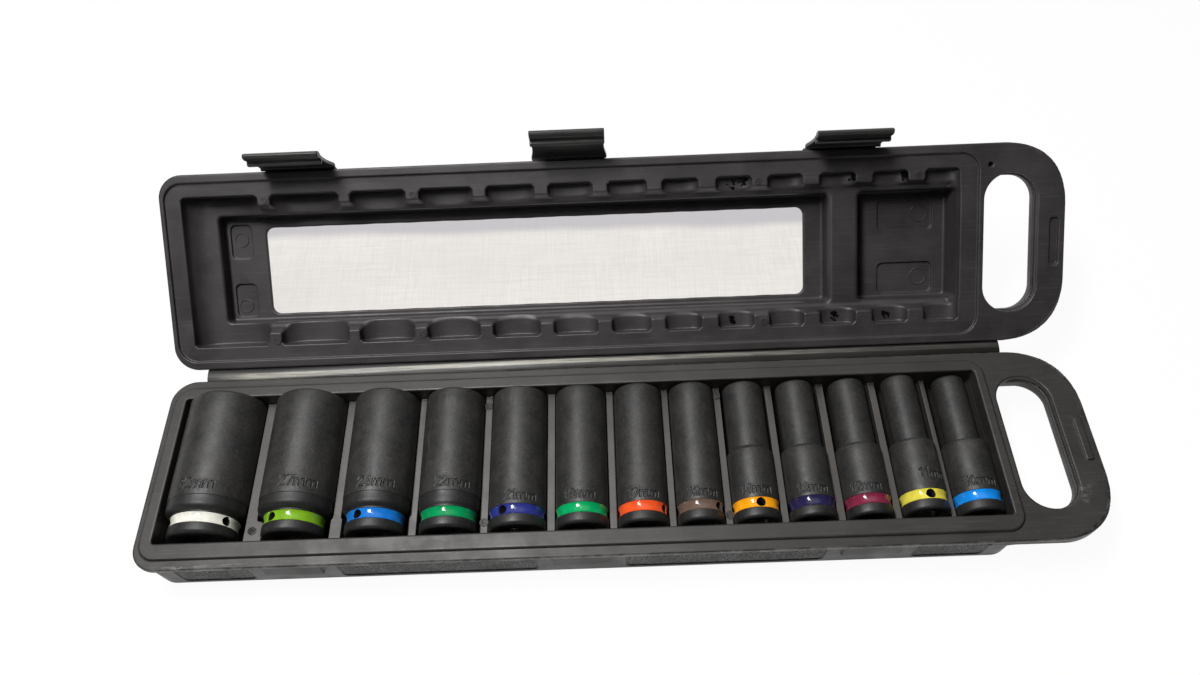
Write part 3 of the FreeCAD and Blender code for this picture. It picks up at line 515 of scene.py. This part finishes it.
CASE = plastic("case_plastic", linear(36, 34, 32), linear(48, 45, 42))
# the lid is the same plastic as the base; its copy is painted lighter, standing in for the different light on the open
# lid
LID = plastic("lid_plastic_painted_lighter", linear(43, 40, 41), linear(56, 52, 53))
LATCH = plastic("latch_plastic", linear(36, 35, 35), linear(46, 45, 44), (0.34, 0.46))
STEEL = phosphate()


def hinge_material():
    """The thin strip the halves share: pale stretch lines with a painted reflection that drifts across it and fades
    towards the handle end, and a painted shadow line along the lid's side.
    """
    n = Nodes("hinge_plastic")
    lines_along = n.noise(620, 5, 0.65, (0.05, 1.0, 1.0))
    split = n.add("ShaderNodeSeparateXYZ")
    n.link(n.coordinates, split.inputs[0])
    across = n.ramp(split.outputs[1], 0.0536, 0.0600)
    # the pale band: partly stress whitening, partly a painted reflection of the light that drifts across the strip and
    # fades towards the handle end
    middle = n.ramp(split.outputs[0], -0.18, -0.01, 0.28, 0.66)
    streak = n.ramp(n.maths("ABSOLUTE", n.maths("SUBTRACT", across, middle)), 0.20, 0.34, 1.0, 0.0)
    place = n.maths("MULTIPLY", n.ramp(split.outputs[0], -0.02, 0.20, 1.0, 0.12),
                    n.ramp(split.outputs[0], -0.205, -0.175, 0.1, 1.0))
    pale = n.maths("MULTIPLY", n.ramp(lines_along, 0.36, 0.60, 0.35, 1.0), n.maths("MULTIPLY", streak, place))
    colour = n.mix(pale, linear(30, 28, 26), linear(150, 147, 136))
    # painted shadow: a near-black line along the lid's side of the strip stands in for the shade in the gap at the
    # lid's edge
    colour = n.mix(n.ramp(across, 0.86, 0.93), colour, linear(9, 9, 9))
    n.link(colour, n.shader.inputs["Base Color"])
    n.link(n.ramp(n.noise(160, 3, 0.5, (0.1, 1, 1)), 0.3, 0.7, 0.30, 0.45), n.shader.inputs["Roughness"])
    n.shader.inputs["Specular IOR Level"].default_value = 0.35
    n.link(n.bump(lines_along, 0.0002, 0.6), n.shader.inputs["Normal"])
    return n.material


# ------------------------------------------------------------------ case halves
def scuffs_and_glint(x, y, z):
    """Where the case has been knocked, at the front left corner under the rim, and a painted glint at the grip's inner
    edge.
    """
    a = np.exp(-(((x + 197) / 12) ** 2 + ((y + 52.5) / 2.0) ** 2 + ((z - 28) / 2.5) ** 2))
    b = 0.35 * np.exp(-(((x - 251.5) / 1.2) ** 2 + ((y + 30) / 4.0) ** 2 + ((z - 30) / 2.0) ** 2))
    return np.clip(a + b, 0, 1)


def base_edge(x, y, z):
    """The rubbed edge of the base's flange."""
    return smooth(1 - np.abs(outline(x, y)) / 0.9) * (z > 26)


def ribs(x, y, z):
    """The tops of the ribs between the troughs."""
    return smooth(1 - np.abs(z - AXIS) / 0.7) * (np.abs(y) < 40.0)


def lid_edge(x, y, z):
    """The edge of the lid's flange, less rubbed than the base's."""
    return 0.3 * smooth(1 - np.abs(outline(x, y)) / 0.9) * (z < 4)


def lid_wet(x, y, z):
    """Where a little oil has run off the sockets into the scallops."""
    out = np.zeros_like(x)
    for x0, y0 in ((88.8, -36.5), (94.5, -38.6), (87.5, 37.0), (144.5, 37.5), (172.7, 38.0), (153.3, -38.5),
                   (181.9, -38.5)):
        out = np.maximum(out, np.exp(-(((x - x0) / 2.6) ** 2 + ((y - y0) / 3.0) ** 2)))
    return out * (z > 2.2) * (z < 22.0)


base = formed("case_base", base_field,
              lines(-225.0, -205, 0.7, 208, 0.8, 224, 0.7, 269.5, 0.9),
              lines(-55.5, -36, 0.6, 36, 1.3, 55.5, 0.6),
              lines(-1.5, 5, 0.9, 12, 1.5, 20, 1.0, 34.0, 0.5),
              marks={"scuff_and_glint": scuffs_and_glint, "edge": base_edge, "rib": ribs})
lid = formed("case_lid", lid_field,
             lines(-225.0, -195, 0.6, -182, 0.45, 172, 0.8, 173, 0.45, 208, 0.7, 224.6, 0.6, 228.2, 0.3, 258, 0.9,
                   264.5, 0.45, 269.5, 0.9),
             lines(-55.5, -44, 0.6, -40.4, 0.3, -24.5, 0.6, -10, 1.2, -5, 0.5, 7, 1.2, 11, 0.5, 22, 1.2, 55.5, 0.6),
             lines(-1.5, 3, 0.5, 8, 1.0, 10, 0.5, 20.5, 1.5, 22.6, 0.5, 25.6, 0.3, 26.5, 0.45),
             place=swing, marks={"edge": lid_edge, "wet": lid_wet})
for thing, material, node, body in ((base, CASE, "base_tray", "base"), (lid, LID, "lid_shell", "lid")):
    thing.data.materials.append(material)
    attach(thing, body)
    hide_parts(node)

# ------------------------------------------------------------------ grained panels of the front wall
chance = np.random.default_rng(11)


def grained(left, right, low=GRAIN_LOW, high=GRAIN_HIGH, cell=1.45):
    """A rounded panel covered in small jittered lumps, standing on the wall's recess."""
    step = 0.36
    xs, zs = np.arange(left, right + step / 2, step), np.arange(low, high + step / 2, step)
    x, z = (a.ravel() for a in np.meshgrid(xs, zs, indexing="ij"))
    nx, nz = int((right - left) / cell) + 3, int((high - low) / cell) + 3
    jx, jz = chance.uniform(-0.36, 0.36, (2, nx, nz)) * cell
    tall = chance.uniform(0.5, 1.0, (nx, nz))
    i, k = np.clip(((x - left) / cell).astype(int), 1, nx - 2), np.clip(((z - low) / cell).astype(int), 1, nz - 2)
    lump = np.zeros_like(x)
    for di in (-1, 0, 1):
        for dk in (-1, 0, 1):
            a, c = i + di, k + dk
            d = np.hypot(x - left - (a + 0.5) * cell - jx[a, c], z - low - (c + 0.5) * cell - jz[a, c])
            lump = np.maximum(lump, tall[a, c] * smooth(1 - d / (0.62 * cell)))
    edge = box2(x, z, left + 0.2, right - 0.2, low + 0.2, high - 0.2, 3.0)
    y = WALL_Y + DRAFT * (TOP - z) + 0.66 - np.where(edge < 0, 0.56 * lump * smooth(-edge / 0.8), -0.5)
    a, c = np.meshgrid(np.arange(len(xs) - 1), np.arange(len(zs) - 1), indexing="ij")
    corner = (a * len(zs) + c).ravel()
    quads = np.stack([corner, corner + len(zs), corner + len(zs) + 1, corner + 1], 1)
    keep = (edge[quads] < 0.4).any(1)
    return np.column_stack([x, y, z]) / 1000, quads[keep]


for number, (left, right) in enumerate(PANELS, 1):
    panel = mesh_object(f"grain_panel_{number}", *grained(left, right))
    work = bmesh.new()
    work.from_mesh(panel.data)   # leaves out the points no face uses
    bmesh.ops.delete(work, geom=[v for v in work.verts if not v.link_faces], context="VERTS")
    work.to_mesh(panel.data)
    work.free()
    smooth_shaded(panel)
    panel.data.materials.append(CASE)
    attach(panel, "base")


# ------------------------------------------------------------------ hatched vent marks of the mould
def hatch_field(radius, stud):
    """A round mark with a rim and slanted bars; stud adds a stem that reaches the floor below it."""
    def field(x, y, z):
        away = np.hypot(x, y)
        bars = np.abs(((x * 0.6 + y * 0.8) / (0.42 * radius) + 0.5) % 1.0 - 0.5) * 0.42 * radius - 0.07 * radius - 0.05
        rim = np.abs(away - radius + 0.22) - 0.16
        marks = np.maximum(np.maximum(away - radius, np.minimum(bars, rim)), np.abs(z) - 0.42)
        return np.minimum(marks, np.maximum(away - radius, np.abs(z + 0.9) - 0.9)) if stud else marks
    return field


def ring_field(radius):
    """The round witness mark in the lid's pads."""
    return lambda x, y, z: np.hypot(np.hypot(x, y) - radius, z) - 0.36


def on_lid(x0, y0, z0=LEDGE):
    """Puts a mark, drawn with z towards the reader, on a floor of the lid."""
    return lambda p, direction=False: swing(p * (1, -1, -1) if direction else p * (1, -1, -1) + (x0, y0, z0), direction)


def on_base(x0, y0):
    """Puts a mark at the height of the ribs between the troughs."""
    return lambda p, direction=False: p if direction else p + (x0, y0, AXIS)


spots = [("lid", on_lid, 1.9, x0, y0) for x0, y0 in ((-166.1, -38.4), (-85.0, -38.4), (101.8, -38.4), (188.4, -38.4),
                                                     (-165.5, 39.0), (-84.4, 38.2), (104.1, 38.2))]
spots += [("base", on_base, 2.3, x0, y0) for x0, y0 in ((-48.8, -31.3), (-49.2, 35.6), (76.5, -31.9), (75.8, 37.0),
                                                        (-167.8, -31.5))]
for number, (body, where, radius, x0, y0) in enumerate(spots, 1):
    width = lines(-2.8, 2.8, 0.14)
    spot = formed(f"vent_mark_{number:02d}", hatch_field(radius, body == "base"), width, width,
                  lines(-2.4, -0.6, 0.4, 0.6, 0.12), place=where(x0, y0), limit=12_000)
    spot.data.materials.append(LID if body == "lid" else CASE)
    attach(spot, body)

for number, (x0, y0) in enumerate(((-189.0, -17.0), (-189.7, 20.8), (195.6, -17.4), (195.4, 18.3)), 1):
    width = lines(-5.3, 5.3, 0.18)
    ring = formed(f"pad_ring_{number}", ring_field(3.7 if x0 < 0 else 4.5), width, width,
                  lines(-0.7, 0.7, 0.12), place=on_lid(x0, y0, PAD - 0.05), limit=12_000)
    ring.data.materials.append(LID)
    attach(ring, "lid")

# ------------------------------------------------------------------ latches
hinge = swing(np.array([[0.0, -HALF - 0.95, 1.75]]))[0]
for body, (along, ajar, further, node) in LATCHES.items():
    def put(p, direction=False, turn=TURN + math.radians(ajar), pivot=(along + further, hinge[1], hinge[2])):
        return swing(p, direction, turn, pivot, (0.0, 0.0, 0.0))

    latch = formed(body + "_strap", latch_field, lines(-20.4, 20.4, 0.5), lines(-5.0, 3.0, 0.35),
                   lines(-29.0, 2.0, 0.35), place=put, limit=40_000)
    latch.data.materials.append(LATCH)
    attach(latch, body)
    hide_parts(node)


# ------------------------------------------------------------------ sockets
def flat_sided(sides, turn, size, angles):
    """Radius at each angle of a regular hole whose flats lie at size from its middle."""
    step = 2 * math.pi / sides
    local = (angles - turn + step / 2) % step - step / 2
    return size / np.cos(local)


STROKES = {   # stick figures for the size marks, one unit high: how wide each is, then its strokes
    "0": (.78, [[(.1, .3), (.1, .7), (.3, .97), (.5, .97), (.66, .7), (.66, .3), (.5, .03), (.3, .03), (.1, .3)]]),
    "1": (.60, [[(.1, .78), (.36, 1), (.36, 0)]]),
    "2": (.78, [[(.1, .72), (.2, .94), (.4, 1), (.62, .88), (.62, .66), (.1, .02), (.68, .02)]]),
    "3": (.78, [[(.1, .86), (.36, 1), (.62, .86), (.6, .64), (.34, .54), (.62, .42), (.66, .16), (.38, 0),
                 (.08, .12)]]),
    "4": (.80, [[(.5, 0), (.5, 1), (.06, .28), (.72, .28)]]),
    "6": (.78, [[(.6, .94), (.34, .96), (.12, .62), (.1, .26), (.3, .02), (.52, .04), (.64, .26), (.5, .52), (.28, .52),
                 (.12, .34)]]),
    "7": (.74, [[(.08, .98), (.66, .98), (.28, 0)]]),
    "9": (.78, [[(.14, .06), (.4, .06), (.6, .36), (.64, .74), (.44, .98), (.22, .96), (.1, .72), (.24, .48),
                 (.46, .48), (.62, .66)]]),
    "m": (1.14, [[(.08, 0), (.08, .66)], [(.08, .5), (.28, .66), (.5, .6), (.54, .4), (.54, 0)],
                 [(.54, .5), (.74, .66), (.96, .6), (1.0, .4), (1.0, 0)]])}


def degrees_from(angles, middle):
    """Angles in degrees from middle, -180 to 180."""
    return (angles - middle + 180) % 360 - 180


def mark_width(text, height):
    return sum(STROKES[sign][0] for sign in text) * height


def mark_depth(u, v, text, height):
    """How deep the stamped size lies at (u along the row, v up), both in mm from the mark's middle."""
    start = -mark_width(text, height) / 2
    best = np.full(np.broadcast(u, v).shape, 9.0)
    for sign in text:
        wide, strokes = STROKES[sign]
        for stroke in strokes:
            for (ax, ay), (bx, by) in zip(stroke, stroke[1:]):
                ax, bx = start + (ax + ay * 0.10) * height, start + (bx + by * 0.10) * height
                ay, by = (ay - 0.5) * height, (by - 0.5) * height
                ex, ey = bx - ax, by - ay
                t = np.clip(((u - ax) * ex + (v - ay) * ey) / (ex * ex + ey * ey), 0, 1)
                best = np.minimum(best, np.hypot(u - ax - ex * t, v - ay - ey * t))
        start += wide * height
    return smooth((0.56 - best) / 0.30) * -0.36 + 0.08 * np.exp(-((best - 0.80) / 0.24) ** 2)


# size: where the mark's middle lies from the drive end, its angle from the top and its height, in mm and degrees
MARKS = {
    32: (24.8, -2.0, 5.4), 27: (24.7, 15.1, 5.4), 24: (23.9, 7.7, 5.2), 22: (23.4, 12.2, 5.0), 21: (15.2, 11.2, 4.7),
    19: (15.2, -4.5, 4.6), 17: (14.9, 1.9, 4.6), 16: (14.8, 4.3, 4.5), 14: (15.3, -3.1, 4.5), 13: (14.8, -3.2, 4.5),
    12: (14.8, -13.0, 4.5), 11: (19.3, 22.0, 4.5), 10: (15.5, -2.6, 4.5)}


def outer_profile(nose, drive):
    """(distance from the drive end, radius) round the outside, edges rounded."""
    start, stop = GROOVE
    chamfer = [(0.0, drive - 1.5), (0.12, drive - 1.05), (0.5, drive - 0.45), (1.1, drive - 0.1), (1.7, drive)]
    band = [(4.7, drive), (5.05, drive - 0.06), (start, drive - 0.3), (start, drive - 1.0), (stop, drive - 1.0),
            (stop, drive - 0.3), (10.65, drive - 0.06), (11.0, drive)]
    if nose > drive + 0.5:
        steps = [(11.3 + 3.9 * t, drive + (nose - drive - 0.3) * (1 - (1 - t) ** 3)) for t in np.linspace(0, 1, 9)]
        steps += [(18.4, nose - 0.34), (18.55, nose - 0.30), (18.75, nose - 0.04), (18.95, nose)]
    elif nose < drive - 0.5:
        steps = [(37.2, drive), (37.9, drive - 0.10), (38.5, drive - 0.42), (38.8, drive - 0.75),
                 (39.2, nose + 0.15), (39.5, nose), (40.0, nose)]
    else:
        steps = [(19.5, nose)]
    end = [(LONG - 1.6, nose), (LONG - 0.95, nose - 0.12), (LONG - 0.45, nose - 0.38), (LONG - 0.12, nose - 0.75),
           (LONG, nose - 1.2)]
    return chamfer + band + steps + end


def drive_end(flats):
    """Where the middle of a socket's drive end lies."""
    return SOCKETS[flats][0], SOCKET_Y + PUSHED.get(flats, 0.0), SOCKET_Z


def revolved(flats, section, theta):
    """Points in metres round a socket's axis, one ring for each (distance from the drive end, radius)."""
    rings = [np.stack([r * np.sin(theta), np.full_like(theta, z), r * np.cos(theta)], 1) for z, r in section]
    return (np.concatenate(rings) + drive_end(flats)) / 1000


def socket_mesh(flats):
    """A socket's outside with its stamped size, its hexagon, bore and drive square, in rings finer at the mark."""
    nose, drive = SOCKETS[flats][1] / 2, SOCKETS[flats][2] / 2
    at, middle, height = MARKS[flats]
    here = max(nose, drive)   # radius under the mark
    span = math.degrees((mark_width(f"{flats}mm", height) / 2 + 1.5) / here)
    close = 0.22   # mm between points in the mark
    angles = np.linspace(0, 360, 144, endpoint=False)
    fine = np.arange(middle - span, middle + span, math.degrees(close / here))
    angles = np.unique(np.round(np.concatenate([angles[np.abs(degrees_from(angles, middle)) > span], fine % 360,
                                                np.arange(0, 360, 30)]), 4))
    angles = angles[np.concatenate([[True], np.diff(angles) > 0.05])]
    outer = outer_profile(nose, drive)
    rows = []
    low, high = at - height / 2 - 1.3, at + height / 2 + 1.3
    for (z0, r0), (z1, r1) in zip(outer, outer[1:]):
        rows.append((z0, r0))
        if z1 - z0 > 3.0:
            inside = np.arange(max(low, z0), min(high, z1), close)
            coarse = np.arange(z0 + 3, z1 - 1, 6.0)
            more = sorted([*inside[1:], *coarse[(coarse < low - 0.5) | (coarse > high + 0.5)]])
            rows += [(z, r0 + (r1 - r0) * (z - z0) / (z1 - z0)) for z in more]
    rows.append(outer[-1])
    theta = np.radians(angles)
    half, bore = flats / 2, flats * 0.47
    corner = half * 2 / math.sqrt(3)
    rings = [(z, np.full_like(theta, r)) for z, r in rows]
    for i, (z, r) in enumerate(rings):
        if low - 0.4 < z < high + 0.4:
            around = degrees_from(angles, middle) * math.pi / 180 * here
            rings[i] = (z, r + mark_depth(around, z - at, f"{flats}mm", height))
    hexagon = flat_sided(6, math.pi / 6, half, theta)
    rings += [(LONG, np.minimum(np.maximum(hexagon + 0.9, corner + 0.3), nose - 1.4)),
              (LONG - 0.25, np.maximum(hexagon + 0.12, half + 0.5)), (LONG - 1.2, hexagon),
              (LONG - HEX_DEEP + 0.3, hexagon), (LONG - HEX_DEEP, hexagon - 0.2)]
    rings += [(z, np.full_like(theta, r)) for z, r in (
        (LONG - HEX_DEEP - 0.2, bore), (LONG - 55.2, bore), (LONG - 56.0, bore - 0.8), (LONG - 56.0, 4.9),
        (LONG - 56.4, WEB_HOLE), (DRIVE_DEEP, WEB_HOLE))]
    square = flat_sided(4, 0.0, DRIVE_HALF, theta)
    soft = np.minimum(square, 8.55)
    rings += [(DRIVE_DEEP, soft - 0.4), (DRIVE_DEEP - 0.3, soft), (1.0, soft), (0.25, soft + 0.35),
              (0.0, soft + 0.8)]
    return revolved(flats, rings, theta), wrapped(len(rings), len(theta))


def hole_cutter(flats):
    """A rod through the ring at the detent hole, in the row frame."""
    mesh = bpy.data.meshes.new("hole")
    tool = bmesh.new()
    bmesh.ops.create_cone(tool, cap_ends=True, segments=40, radius1=DETENT / 1000, radius2=DETENT / 1000, depth=0.014)
    tool.to_mesh(mesh)
    tool.free()
    thing = bpy.data.objects.new("hole", mesh)
    bpy.context.scene.collection.objects.link(thing)
    roll = math.radians(SOCKETS[flats][8])
    way = Vector((math.sin(roll), 0, math.cos(roll)))
    x, y, z = drive_end(flats)
    place = Vector((x, y + sum(GROOVE) / 2, z)) / 1000 + way * (SOCKETS[flats][2] / 2000 + 0.0005)
    thing.matrix_world = Matrix.Translation(place) @ way.to_track_quat("Z", "Y").to_matrix().to_4x4()
    return thing


def bored(thing, cutter):
    cut = thing.modifiers.new("hole", "BOOLEAN")
    cut.object, cut.operation, cut.solver = cutter, "DIFFERENCE", "EXACT"
    return applied(thing)


BANDS = {   # the rings' colours
         32: (228, 226, 215), 27: (122, 172, 34), 24: (26, 116, 205), 22: (10, 142, 82), 21: (44, 52, 128),
         19: (8, 160, 92), 17: (240, 88, 40), 16: (104, 84, 74), 14: (255, 168, 24), 13: (40, 36, 74),
         12: (126, 40, 66), 11: (228, 214, 78), 10: (22, 138, 232)}
for flats, row in SOCKETS.items():
    body = f"socket_{flats}"
    socket = mesh_object(f"socket_{flats}_body", *socket_mesh(flats))
    cutter = hole_cutter(flats)
    bored(socket, cutter)
    x, along, z = (read_points(socket.data) * 1000 - drive_end(flats)).T
    paint(socket, "turned", along < (18.6 if row[1] > row[2] + 1 else 4.9))   # the bare drive end
    middle, turn, height = MARKS[flats]
    reach = max(row[1], row[2]) / 2
    around = np.radians(degrees_from(np.degrees(np.arctan2(x, z)), turn)) * reach
    stroke = mark_depth(around, along - middle, f"{flats}mm", height)
    paint(socket, "stamped", np.where(np.hypot(x, z) > reach - 0.8, smooth(-stroke / 0.3), 0))
    socket.data.materials.clear()
    socket.data.materials.append(STEEL)
    smooth_shaded(socket, 38)
    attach(socket, body)
    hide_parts(f"socket_{flats}")

    drive = row[2] / 2
    theta = np.linspace(0, 2 * math.pi, 180, endpoint=False)
    section = [(5.22, drive - 1.0), (5.24, drive - 0.16)]   # the paint lies a little hollow
    section += [(5.3 + 5.1 * t, drive - 0.14 - 0.62 * math.sin(math.pi * t) ** 0.8) for t in np.linspace(0, 1, 15)]
    section += [(10.46, drive - 0.16), (10.48, drive - 1.0)]
    band = mesh_object(f"size_ring_{flats}", revolved(flats, section, theta), wrapped(len(section), len(theta)))
    bored(band, cutter)
    bpy.data.objects.remove(cutter)
    band.data.materials.clear()
    band.data.materials.append(enamel(f"ring_paint_{flats}", linear(*BANDS[flats])))
    smooth_shaded(band, 40)
    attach(band, body)
    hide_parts(f"colour_band_{flats}")

# ------------------------------------------------------------------ hinge strip
# its section, in y and z: an arch from the base's edge to the lid's, over a flat underside
base_side = np.array([HALF, TOP - 0.35])
lid_side = swing(np.array([[0.0, HALF, 1.1]]))[0][1:]
crown = (base_side + lid_side) / 2 + (-0.1, 0.55)
ts = np.linspace(0, 1, 13)[:, None]
upper = (1 - ts) ** 2 * base_side + 2 * ts * (1 - ts) * (2 * crown - (base_side + lid_side) / 2) + ts ** 2 * lid_side
base_under = base_side - (0, 1.0)
lid_under = swing(np.array([[0.0, HALF, 2.1]]))[0][1:]
under = base_under + (lid_under - base_under) * ts
section = np.concatenate([upper, under[::-1]])
xs = np.linspace(-205.4, 232.5, 300)
points = np.concatenate([np.column_stack([np.full(len(section), x), section]) for x in xs])
rng = np.random.default_rng(7)
wave = np.interp(xs, np.linspace(-215, 234, 60), rng.normal(0, 0.05, 60))
points[:, 2] += np.repeat(wave, len(section)) * 0.6
strip = mesh_object("hinge_strip", points / 1000, wrapped(len(xs), len(section), closed=False))
work = bmesh.new()
work.from_mesh(strip.data)
bmesh.ops.holes_fill(work, edges=[e for e in work.edges if e.is_boundary])
bmesh.ops.recalc_face_normals(work, faces=work.faces)
work.to_mesh(strip.data)
work.free()
smooth_shaded(strip, 50)
strip.data.materials.append(hinge_material())
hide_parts("living_hinge")
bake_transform(strip)

# ------------------------------------------------------------------ stage, light and camera
scene = bpy.context.scene
scene.view_settings.view_transform = "Standard"
floor = mesh_object("floor", np.array([[-6, -6, -0.0005], [6, -6, -0.0005], [6, 6, -0.0005], [-6, 6, -0.0005]]),
                    np.array([[0, 1, 2, 3]]))


def floor_paint():
    """White paper; below the window a soft patch of pale linen with a painted shadow of the lid over its far side. Seen
    directly it glows, and keeps some shadow.
    """
    n = Nodes("floor_paint")
    n.coordinates = n.add("ShaderNodeNewGeometry").outputs["Position"]
    split = n.add("ShaderNodeSeparateXYZ")
    n.link(n.coordinates, split.inputs[0])
    across = n.ramp(n.maths("ABSOLUTE", n.maths("ADD", split.outputs[0], 0.0275)), 0.196, 0.214, 1.0, 0.0)
    along = n.ramp(n.maths("ABSOLUTE", n.maths("ADD", split.outputs[1], -0.150)), 0.055, 0.068, 1.0, 0.0)
    patch = n.maths("MULTIPLY", across, along)
    threads = n.maths("ADD", n.noise(900, 3, 0.7, (1.0, 0.05, 1.0)), n.noise(800, 3, 0.7, (0.05, 1.0, 1.0)))
    linen = n.mix(n.ramp(threads, 0.75, 1.25), linear(229, 225, 220), linear(241, 238, 234))
    linen = n.mix(n.ramp(n.noise(16, 2, 0.5), 0.3, 0.7, 0.0, 0.5), linen, linear(231, 227, 223))
    # painted shadow of the lid: a bluish band darkens the far side of the linen patch, its edge slanted and wavering
    slant = n.maths("MULTIPLY", n.maths("ADD", split.outputs[0], -0.14), 0.018)
    waver = n.ramp(n.noise(14, 2, 0.5), 0.3, 0.7, -0.0015, 0.0015)
    lid_shadow_edge = n.maths("ADD", n.maths("ADD", split.outputs[1], slant), waver)
    linen = n.mix(n.ramp(lid_shadow_edge, 0.170, 0.179, 0.0, 0.75), linen, linear(186, 184, 190))
    paper = n.mix(n.ramp(n.noise(3, 2, 0.5), 0.3, 0.7), linear(252, 252, 251), linear(254, 254, 254))
    colour = n.mix(patch, paper, linen)
    n.link(colour, n.shader.inputs["Base Color"])
    n.shader.inputs["Roughness"].default_value = 0.9
    path = n.add("ShaderNodeLightPath")
    seen = n.maths("MAXIMUM", path.outputs["Is Camera Ray"], n.maths("MAXIMUM", path.outputs["Is Glossy Ray"],
                                                                     path.outputs["Is Transmission Ray"]))
    glow = n.add("ShaderNodeEmission")
    n.link(n.mix(patch, (1.0, 1.0, 1.0, 1.0), linen), glow.inputs["Color"])
    blend = n.add("ShaderNodeMixShader")
    n.link(n.maths("MULTIPLY", seen, 0.95), blend.inputs[0])
    n.link(n.shader.outputs[0], blend.inputs[1])
    n.link(glow.outputs[0], blend.inputs[2])
    n.link(blend.outputs[0], n.tree.nodes["Material Output"].inputs["Surface"])
    return n.material


floor.data.materials.append(floor_paint())

# light from above and behind falls off towards the sides; straight to the camera the world is white
world = bpy.data.worlds.new("studio")
scene.world = world
world.use_nodes = True
tree = world.node_tree
sky = tree.nodes["Background"]
towards = tree.nodes.new("ShaderNodeVectorMath")
towards.operation = "DOT_PRODUCT"
tree.links.new(tree.nodes.new("ShaderNodeTexCoord").outputs["Generated"], towards.inputs[0])
towards.inputs[1].default_value = (0.0, 0.54, 0.84)
level = tree.nodes.new("ShaderNodeMapRange")
level.interpolation_type = "SMOOTHSTEP"
for key, number in (("From Min", 0.74), ("From Max", 0.99), ("To Min", 0.008), ("To Max", 0.95)):
    level.inputs[key].default_value = number
tree.links.new(towards.outputs["Value"], level.inputs["Value"])
tree.links.new(level.outputs["Result"], sky.inputs["Strength"])
sky.inputs["Color"].default_value = (1.0, 0.995, 0.99, 1)
white = tree.nodes.new("ShaderNodeBackground")
white.inputs["Color"].default_value = (1, 1, 1, 1)
white.inputs["Strength"].default_value = 1.0
path = tree.nodes.new("ShaderNodeLightPath")
both = tree.nodes.new("ShaderNodeMixShader")
tree.links.new(path.outputs["Is Camera Ray"], both.inputs[0])
tree.links.new(sky.outputs[0], both.inputs[1])
tree.links.new(white.outputs[0], both.inputs[2])
tree.links.new(both.outputs[0], tree.nodes["World Output"].inputs["Surface"])


def lamp(name, place, aim, size, watts, size_y=None):
    data = bpy.data.lights.new(name, "AREA")
    data.energy = watts
    data.size = size
    if size_y:
        data.shape, data.size_y = "RECTANGLE", size_y
    thing = bpy.data.objects.new(name, data)
    scene.collection.objects.link(thing)
    thing.location = place
    thing.rotation_euler = (Vector(aim) - Vector(place)).to_track_quat("-Z", "Y").to_euler()
    return thing


lamp("key", (-0.32, 0.04, 1.05), (-0.02, 0.0, 0.03), 0.46, 11.5, 0.14)
lamp("tube", (-0.20, 0.04, 1.02), (-0.02, 0.0, 0.03), 1.10, 2.2, 0.025)

camera_data = bpy.data.cameras.new("camera")
camera = bpy.data.objects.new("camera", camera_data)
scene.collection.objects.link(camera)
camera.location = (0.01959, -0.20001, 0.45950)
camera.rotation_euler = (0.56589, 0.03065, -0.02498)
camera_data.sensor_width = 36.0
camera_data.lens = 36.0 * 901.77 / 1200   # focal length 901.77 pixels in the 1200 pixel photograph
camera_data.clip_start = 0.01
scene.camera = camera
